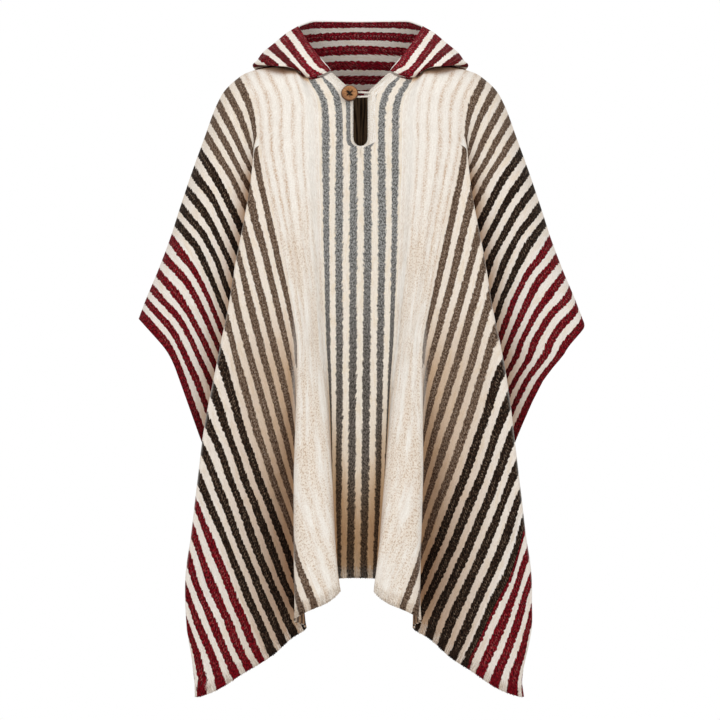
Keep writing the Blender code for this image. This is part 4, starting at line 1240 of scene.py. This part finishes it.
def hoodWeave(sign, half, down, bands):
    if sign < 0:
        down = 2 * down[-1] - down
    stripe = hoodStripe(half, np.broadcast_to(bands, down.shape))
    return np.dstack((stripe, down, np.ones(down.shape)))


def shadesOf(half, stripesAcross, facing, body):
    # how shut in each place is with painted sleeve shade added, its painted highlight, its distance from the
    # slit, its painted shade beside the roll and how brown it is
    recess = recessOf(half, normalsOf(half, facing), tree)
    none = np.zeros(recess.shape)
    if not body:
        return recess, none, none + 1, none, none
    paintedRollShade, rim = foldTones(half, stripesAcross, facing)
    if facing > 0:
        return recess, rim, none + 1, paintedRollShade, none
    # painted shade on the sleeve beside the body's fold, added to how shut in it is
    row = np.arange(len(half))[:, None]
    turned = eased(row, *folds["sleeveFrom"]) * (1 - eased(row, *folds["sleeveTo"]))
    turned = turned * eased(-half[:, :, 2], *folds["sleeveDrop"])
    recess = np.clip(recess + turned * folds["sleeveShade"], 0, 1)
    return recess, rim, slitDistance(half), paintedRollShade, brownOf(half)


def hangingGrid(sign, half, down, stripesAcross, facing):
    # half a length as it hangs on one side, creased and drifted from the even half
    depth = 1 if facing < 0 else form["backCreases"]
    crease = creased(sign, down, stripesAcross)[:, :, None] * depth
    grid = half + normalsOf(half, facing) * crease
    grid[:, :, 0] = grid[:, :, 0] * sign + hung(sign, half, down, stripesAcross, facing)
    return grid


def sheetObject(name, half, facing, stripesAcross, wall, finishes, body=True):
    # the half and its mirror image as one sheet, with the weave's coordinates on its points
    rows, columns, _ = half.shape
    down = runs(half)
    recess, rim, neck, paintedRollShade, brown = shadesOf(half, stripesAcross, facing, body)
    even = np.broadcast_to(stripesAcross, down.shape)
    grids, places, faces, index = {}, [], [], {}
    points = {name: [] for name in ("weave", "recess", "rim", "neck", "plain")}
    for sign in (1, -1):
        if body:
            grid = hangingGrid(sign, half, down, stripesAcross, facing)
            weave = bodyWeave(sign, half, down, stripesAcross, facing)
        else:
            grid = half * (sign, 1, 1)
            weave = hoodWeave(sign, half, down, stripesAcross)
        grids[sign] = grid
        width = tableAt(hemBand[sign], half[:, :, 2])
        values = (weave, recess, rim, np.dstack((neck, width, paintedRollShade)), np.dstack((even, brown, even * 0)))
        for i in range(rows):
            for j in range(columns):
                if sign < 0 and abs(half[i, j, 0]) < 1e-6:
                    index[sign, i, j] = index[1, i, j]
                    continue
                index[sign, i, j] = len(places)
                places.append(grid[i, j])
                for kept, value in zip(points.values(), values):
                    kept.append(value[i, j])
        for i in range(rows - 1):
            for j in range(columns - 1):
                ring = ((i, j), (i + 1, j), (i + 1, j + 1), (i, j + 1))
                corners = [index[sign, row, column] for row, column in ring]
                if len(set(corners)) == 4:
                    faces.append(corners if sign == -facing else corners[::-1])
    made = addMesh(name, places, faces, finishes[0], points)
    made.data.materials.append(finishes[-1])
    wallOf = made.modifiers.new("wall", "SOLIDIFY")
    wallOf.thickness = wall
    wallOf.offset = 0
    wallOf.material_offset = len(finishes) - 1
    return made, grids


tree = wholeTree([cloth[::4, ::4] for cloth in (front, back, hoodCloth)])
bodyFinish = bodyWool("striped wool")
insideFinish = bodyWool("striped wool inside", True)
hoodFinish = hoodWool("hood wool")
frontPiece, frontGrids = sheetObject("front_cloth", front, -1, stripes, form["wall"], [bodyFinish])
report("front cloth")
backFinishes = [bodyFinish, insideFinish]
backPiece, backGrids = sheetObject("back_cloth", back, 1, stripes, form["wall"], backFinishes)
report("back cloth")
hoodPiece, _ = sheetObject("hood_cloth", hoodCloth, -1, hoodBands, hood["wall"], [hoodFinish], False)
report("hood cloth")


class Tubes:
    # many thin tubes in one mesh
    def __init__(self, sides):
        self.sides = sides
        self.places, self.faces, self.weave = [], [], []

    def add(self, path, radii, weave=None):
        # path: places along the middle; radii: one for each; weave: one row for each
        path = np.asarray(path, float)
        weave = path * 0 if weave is None else weave
        along = np.gradient(path, axis=0)
        along /= np.maximum(np.linalg.norm(along, axis=1, keepdims=True), 1e-12)
        helper = np.array((0.31, 0.93, 0.2))  # no tube runs this way
        across = np.cross(along, helper)
        across /= np.linalg.norm(across, axis=1, keepdims=True)
        up = np.cross(along, across)
        turns = np.arange(self.sides) * 2 * math.pi / self.sides
        base = len(self.places)
        for place, a, b, radius, row in zip(path, across, up, radii, weave):
            for turn in turns:
                self.places.append(place + (a * math.cos(turn) + b * math.sin(turn)) * radius)
                self.weave.append(row)
        n = self.sides
        last = base + (len(path) - 1) * n
        for first in range(base, last, n):
            for j in range(n):
                k = (j + 1) % n
                self.faces.append((first + j, first + k, first + n + k, first + n + j))
        self.faces.append(tuple(range(base + n - 1, base - 1, -1)))
        self.faces.append(tuple(range(last, last + n)))

    def build(self, name, material):
        points = {"weave": self.weave, "neck": [(1, 0, 0)] * len(self.weave)}
        points["plain"] = [(abs(row[0]), 0, 0) for row in self.weave]
        return facedOut(addMesh(name, self.places, self.faces, material, points))


threads = {
    "sides": 4,
    "perStripe": 17,
    "sway": 0.3,
    "beforeLast": 0.02,
    "length": 0.020,
    "lengths": (0.7, 1.15),
    "past": 0.0012,
    "radius": 0.00055,
    "radii": (0.8, 1.2),
    "taper": (0.55, 1.05),
    "spread": 0.0005,
    "clear": 0.0001,
    "rise": (-0.0006, 0.0010),
    "bend": 1.5,
    "steps": 5,
}


def hemThreads(name, grids, facing, seed):
    # the combed warp ends over the last stretch of the hem
    random = np.random.default_rng(seed)
    tubes = Tubes(threads["sides"])
    steps, perStripe = threads["steps"], threads["perStripe"]
    grown = np.linspace(0, 1, steps) ** threads["bend"]
    surface = form["wall"] / 2 + threads["clear"]
    for sign, grid in grids.items():
        down = runs(grid)
        normals = normalsOf(grid, facing) * sign
        woven = bodyWeave(sign, grid, down, stripes, facing)[-1, :, 0]
        for k in range(int(lastStripe * perStripe)):
            stripe = (k + 0.5 + random.uniform(-threads["sway"], threads["sway"])) / perStripe
            column = min(stripe, lastStripe - threads["beforeLast"]) / lastStripe * (grid.shape[1] - 1)
            j, share = int(column), column - int(column)
            line, out, length = (
                values[:, j] * (1 - share) + values[:, j + 1] * share for values in (grid, normals, down)
            )
            span = threads["length"] * random.uniform(*threads["lengths"])
            wanted = length[-1] - np.linspace(1, 0, steps) * span
            path = placesAt(wanted, length, line)
            lift = placesAt(wanted, length, out)
            tangent = unit(path[-1] - path[-2])
            across = np.cross(tangent, lift[-1])
            path = path + lift * (surface + grown * random.uniform(*threads["rise"]))[:, None]
            path = path + across * (grown * random.normal(0, threads["spread"]))[:, None]
            path[-1] += tangent * random.uniform(0.0, threads["past"])
            number = woven[j] * (1 - share) + woven[j + 1] * share
            rows = [(number, w, length[-1] - w) for w in wanted]
            radius = threads["radius"] * np.linspace(*threads["taper"], steps)
            tubes.add(path, radius * random.uniform(*threads["radii"]), rows)
    return tubes.build(name, bodyFinish)


frontThreads = hemThreads("front_threads", frontGrids, -1, 11)
backThreads = hemThreads("back_threads", backGrids, 1, 12)
report("hem threads")

plain = {"grain": 900, "edge": (0.35, 0.65), "relief": 0.0003}


def plainYarn(name, dark, light):
    paint = Paint(name, {"Roughness": 0.9, "Specular IOR Level": 0.2})
    place = paint.node("ShaderNodeTexCoord", {}, {}, 3)
    tone = paint.noise(place, plain["grain"], 3)
    colour = paint.mix(paint.rise(tone, *plain["edge"]), linear(dark), linear(light))
    return paint.finish(colour, paint.bump(tone, plain["relief"]))


whiteYarn = plainYarn("white yarn", "#ddd2c2", "#fbf7f0")
stitches = {
    "sides": 6,
    "seed": 5,
    "spacing": 0.0021,
    "jitter": 0.0004,
    "first": 0.004,
    "before": 0.002,
    "sewnPast": 0.0005,
    "radius": 0.00075,
    "sunk": 0.75,  # share of the radius over the cloth
    "reach": 0.0034,
    "reaches": (0.75, 1.15),
    "clear": 0.0009,
    "clears": (0.85, 1.1),
    "ends": 0.6,
    "lean": 0.0007,
    "turns": 9,
}


def overcast():
    # loops of yarn round the edge of the neck slit
    random = np.random.default_rng(stitches["seed"])
    tubes = Tubes(stitches["sides"])
    radius, lean, jitter = stitches["radius"], stitches["lean"], stitches["jitter"]
    half = form["wall"] / 2 + radius * stitches["sunk"]
    end = slit["end"] + stitches["sewnPast"]
    rows = [i for i in range(len(front)) if front[i, 0, 2] > end]
    for sign in (1, -1):
        edge, inner = (frontGrids[sign][rows, column] for column in (0, 2))
        length = lengthsOf(edge)
        for at in np.arange(stitches["first"], length[-1], stitches["spacing"]):
            at += random.uniform(-jitter, jitter)
            place = placesAt(at, length, edge)
            along = unit(place - placesAt(at - stitches["before"], length, edge))
            into = placesAt(at, length, inner) - place
            into = unit(into - along * into.dot(along))
            out = unit(np.cross(along, into))
            foot = place + into * stitches["reach"] * random.uniform(*stitches["reaches"])
            loop = [foot + out * half * stitches["ends"] + along * lean]
            for turn in np.linspace(0.5, -0.5, stitches["turns"]) * math.pi:
                bulge = stitches["clear"] * random.uniform(*stitches["clears"])
                loop.append(place - into * math.cos(turn) * bulge + out * math.sin(turn) * half)
            loop.append(foot - out * half * stitches["ends"] - along * lean)
            tubes.add(loop, [radius] * len(loop))
    return tubes.build("slit_stitches", whiteYarn)


stitchPiece = overcast()
report("slit stitches")

button = {
    "side": -0.0185,
    "height": -0.0375,
    "radius": 0.0146,
    "thickness": 0.0048,
    "lift": 0.0062,
    "shank": 0.0022,
    "sunk": 0.0002,
    "steps": 56,
    "outline": (
        # from the middle over the rim to the back, in shares of the radius and of half the thickness
        (0, 0.66), (0.30, 0.66), (0.60, 0.76), (0.72, 0.92), (0.80, 1), (0.88, 0.98), (0.95, 0.72),
        (0.985, 0.34), (1, 0), (0.97, -0.45), (0.88, -0.8), (0.6, -1),
    ),
    "dish": 0.66,
    "hole": 0.0015,
    "holeSides": 16,
    "holeOut": 0.0052 / math.sqrt(2),
    "holes": ((1, 1), (-1, 1), (-1, -1), (1, -1)),
    "holeDepth": 0.0020,
    "holeOver": 0.001,
    "wood": ("#7d4a24", "#bb8450"),
    "grain": (160, 620),
    "fineGrain": 1500,
    "grainEdge": (0.38, 0.62),
    "rimWood": "#4a2c16",
    "rimEdge": (0.84, 0.94),
    "lowWood": "#5a3519",
    "lowEdge": (0.004, 0.020),
    "lowShare": 0.55,
    "relief": 0.0002,
}


def buttonSeat():
    # where the button sits on the cloth, and which way is out of the cloth and up it there
    faces = gridFaces(len(front) // 2 + 1, len(stripes))
    frontTree = BVHTree.FromPolygons([Vector(place) for row in frontGrids[-1] for place in row], faces)
    rise = 0
    for _ in range(3):
        start = Vector((button["side"], -1, button["height"] - rise))
        place, out, _, _ = frontTree.ray_cast(start, Vector((0, 1, 0)))
        out = unit(np.array((0, -abs(out[1]), out[2] * (-1 if out[1] > 0 else 1))))
        rise = out[2] * (button["lift"] + button["thickness"] / 2)
    return np.array((button["side"], place[1], place[2])), out, np.array((0, out[2], -out[1]))


seatPlace, seatOut, seatUp = buttonSeat()


def seated(place):
    # from the button's own frame (right, up, out) to the part's
    right, up, out = place
    return seatPlace + np.array((right, 0, 0)) + seatUp * up + seatOut * out


def woodFinish():
    paint = Paint("shell button", {"Roughness": 0.5, "Specular IOR Level": 0.35})
    right, up, _ = paint.parts("disc")
    far = paint.math("SQRT", right * right + up * up) / button["radius"]
    across, along = button["grain"]
    grain = paint.noise(paint.place(right * across, up * along), 1.0, 3.0, 0.6)
    fine = paint.noise(paint.attribute("disc", 1), button["fineGrain"], 3.0)
    dark, light = (linear(code) for code in button["wood"])
    colour = paint.mix(paint.rise(grain * 0.7 + fine * 0.3, *button["grainEdge"]), dark, light)
    colour = paint.mix(paint.rise(far, *button["rimEdge"]), colour, linear(button["rimWood"]))
    low = paint.rise((0 - right) - up, *button["lowEdge"]) * button["lowShare"]
    colour = paint.mix(low, colour, linear(button["lowWood"]))
    return paint.finish(colour, paint.bump(grain, button["relief"]))


def turnedMesh(name, outline, steps, material):
    # an outline of radius and height turned about the button's middle
    places, faces = [], []
    n = len(outline)
    for k in range(steps):
        angle = 2 * math.pi * k / steps
        places += [(radius * math.cos(angle), radius * math.sin(angle), height) for radius, height in outline]
        m = (k + 1) % steps
        faces += [(k * n + i, m * n + i, m * n + i + 1, k * n + i + 1) for i in range(n - 1)]
    return facedOut(addMesh(name, places, faces, material, {}), 1e-6)


def drilled(made, half, finish):
    # the four holes cut out of the disc
    hole = button["hole"]
    top, low = half + button["holeOver"], half * button["dish"] - button["holeDepth"]
    outline = ((0, top), (hole, top), (hole, low), (0, low))
    out = button["holeOut"]
    cutters = []
    for x, y in button["holes"]:
        tool = turnedMesh("cutter", outline, button["holeSides"], finish)
        tool.data.transform(Matrix.Translation((x * out, y * out, 0)))
        cutters.append(tool)
        cut = made.modifiers.new("hole", "BOOLEAN")
        cut.operation = "DIFFERENCE"
        cut.solver = "EXACT"
        cut.object = tool
    shape = bpy.data.meshes.new_from_object(made.evaluated_get(bpy.context.evaluated_depsgraph_get()))
    made.modifiers.clear()
    made.data = shape
    for tool in cutters:
        bpy.data.objects.remove(tool)
    return shape


def makeButton():
    half = button["thickness"] / 2
    shank = button["shank"]
    foot = form["wall"] / 2 - half - button["lift"] - button["sunk"]
    outline = [(button["radius"] * far, half * height) for far, height in button["outline"]]
    outline += [(shank, -half), (shank, foot), (0, foot)]
    finish = woodFinish()
    made = turnedMesh("button_disc", outline, button["steps"], finish)
    shape = drilled(made, half, finish)
    layer = shape.attributes.new("disc", "FLOAT_VECTOR", "POINT")
    layer.data.foreach_set("vector", np.ravel([vertex.co[:] for vertex in shape.vertices]))
    middle = button["lift"] + half
    for vertex in shape.vertices:
        x, y, z = vertex.co
        vertex.co = seated((x, y, z + middle))
    return made


buttonPiece = makeButton()
report("button")

sewing = {
    "sides": 6,
    "seed": 3,
    "apart": 0.0005,
    "steps": 11,
    "over": 1.02,
    "rise": 0.0010,
    "drop": 0.0024,
    "radius": 0.00055,
    "height": 0.83,  # share of the button's thickness at which the crossed yarn lies
    "strays": 9,
    "strayLengths": (0.005, 0.0105),
    "strayRadii": (0.00052, 0.00028),
    "straySteps": 5,
    "strayRise": 0.0009,
    "strayDrop": 0.0010,
}


def buttonThread():
    # dark yarn crossed through the four holes, with a few stray ends
    random = np.random.default_rng(sewing["seed"])
    tubes = Tubes(sewing["sides"])
    top = button["lift"] + button["thickness"] * sewing["height"]
    for x, y in button["holes"][:2]:
        for shift in (-sewing["apart"], sewing["apart"]):
            path = []
            for share in np.linspace(-1, 1, sewing["steps"]):
                height = top + sewing["rise"] - sewing["drop"] * abs(share) ** 6
                far = button["holeOut"] * share * sewing["over"]
                path.append(seated((x * far - y * shift, y * far + x * shift, height)))
            tubes.add(path, [sewing["radius"]] * len(path))
    steps = sewing["straySteps"]
    for _ in range(sewing["strays"]):
        angle = random.uniform(0, 2 * math.pi)
        length = random.uniform(*sewing["strayLengths"])
        path = []
        for share in np.linspace(0, 1, steps):
            height = top + sewing["strayRise"] - sewing["strayDrop"] * share
            far = length * share
            path.append(seated((math.cos(angle) * far, math.sin(angle) * far, height)))
        tubes.add(path, np.linspace(*sewing["strayRadii"], steps))
    return tubes.build("button_thread", plainYarn("dark thread", "#120c08", "#33261b"))


threadPiece = buttonThread()
cord = {
    "sides": 7,
    "radius": 0.0019,
    "reach": 0.0355,
    "close": 0.0034,
    "clear": 0.0003,
    "over": 0.0004,
    "straight": 13,
    "round": 17,
    "fine": 150,
    "ply": 0.00097,
    "pressed": 0.95,
    "twist": 0.0056,
}


def cordLine():
    # the middle of the cord, from the slit's right edge, round the shank and back
    turnRadius = button["shank"] + cord["clear"] + cord["radius"]
    count, close = cord["straight"], cord["close"]
    flat = []
    for share in np.linspace(0, 1, count + 1)[:-1]:
        spread = close + (turnRadius - close) * math.sin(share * math.pi / 2)
        flat.append((cord["reach"] * (1 - share), spread))
    for angle in np.linspace(0.5, 1.5, cord["round"]) * math.pi:
        flat.append((turnRadius * math.cos(angle), turnRadius * math.sin(angle)))
    flat += [(x, -y) for x, y in flat[:count][::-1]]
    lift = form["wall"] / 2 + cord["over"] + cord["radius"]
    return np.array([seated((x, y, lift)) for x, y in flat])


def buttonCord():
    # two twisted plies
    middle = cordLine()
    length = lengthsOf(middle)
    fine = np.linspace(0, length[-1], cord["fine"])
    path = placesAt(fine, length, middle)
    along = np.gradient(path, axis=0)
    across = np.cross(along, seatOut)
    across /= np.linalg.norm(across, axis=1, keepdims=True)
    tubes = Tubes(cord["sides"])
    for start in (0, math.pi):
        turn = (start + fine / cord["twist"] * 2 * math.pi)[:, None]
        ply = path + (across * np.cos(turn) + seatOut * np.sin(turn)) * cord["ply"] * cord["pressed"]
        tubes.add(ply, [cord["ply"]] * len(ply))
    return tubes.build("loop_cord", whiteYarn)


cordPiece = buttonCord()
report("thread and cord")

lights = {
    "world": 0.5,
    "lamps": (
        # place, size, watts
        ((-2.6, -3.2, 1.4), 2.2, 50),
        ((2.6, -3.2, 1.2), 2.2, 40),
        ((0, -1.2, 3.2), 2.4, 30),
        ((0, 3.2, 1.2), 2.5, 30),
    ),
    "aim": (0, 0, -0.5),
}


def makeWorld():
    # soft light from all round, with a white background behind the garment
    world = bpy.data.worlds.new("studio")
    bpy.context.scene.world = world
    world.use_nodes = True
    nodes, links = world.node_tree.nodes, world.node_tree.links
    soft = nodes["Background"]
    seen = nodes.new("ShaderNodeBackground")
    for light in (soft, seen):
        light.inputs["Color"].default_value = (*white, 1)
    soft.inputs["Strength"].default_value = lights["world"]
    path = nodes.new("ShaderNodeLightPath")
    either = nodes.new("ShaderNodeMixShader")
    links.new(path.outputs["Is Camera Ray"], either.inputs[0])
    links.new(soft.outputs[0], either.inputs[1])
    links.new(seen.outputs[0], either.inputs[2])
    links.new(either.outputs[0], nodes["World Output"].inputs["Surface"])


def makeLamps():
    for number, (place, size, watts) in enumerate(lights["lamps"]):
        data = bpy.data.lights.new(f"lamp{number}", "AREA")
        data.size = size
        data.energy = watts
        lamp = bpy.data.objects.new(f"lamp{number}", data)
        lamp.location = place
        towards = Vector(lights["aim"]) - Vector(place)
        lamp.rotation_euler = towards.to_track_quat("-Z", "Y").to_euler()
        bpy.context.scene.collection.objects.link(lamp)
    bpy.context.scene.view_settings.view_transform = "Standard"


floor = {"radius": 4.0, "height": -1.35, "sides": 64}


def makeFloor():
    bpy.ops.mesh.primitive_circle_add(
        vertices=floor["sides"], radius=floor["radius"], fill_type="NGON", location=(0, 0, 0)
    )
    made = bpy.context.object
    made.name = "floor"
    made.data.transform(Matrix.Translation((0, 0, floor["height"])))
    paint = Paint("pale floor", {"Roughness": 0.9, "Base Color": linear("#f2f1ef")})
    made.data.materials.append(paint.material)


makeWorld()
makeLamps()
makeFloor()
report("light and floor")

for piece, node, name in (
    (frontPiece, "front", "cream_wool"),
    (backPiece, "back", "cream_wool"),
    (hoodPiece, "hood", "red_wool"),
    (stitchPiece, "slit_edging", "white_wool"),
    (buttonPiece, "button", "coconut_shell"),
    (cordPiece, "button_loop", "white_wool"),
):
    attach(piece, "root")
    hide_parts(node)
for piece in (frontThreads, backThreads, threadPiece):
    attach(piece, "root")
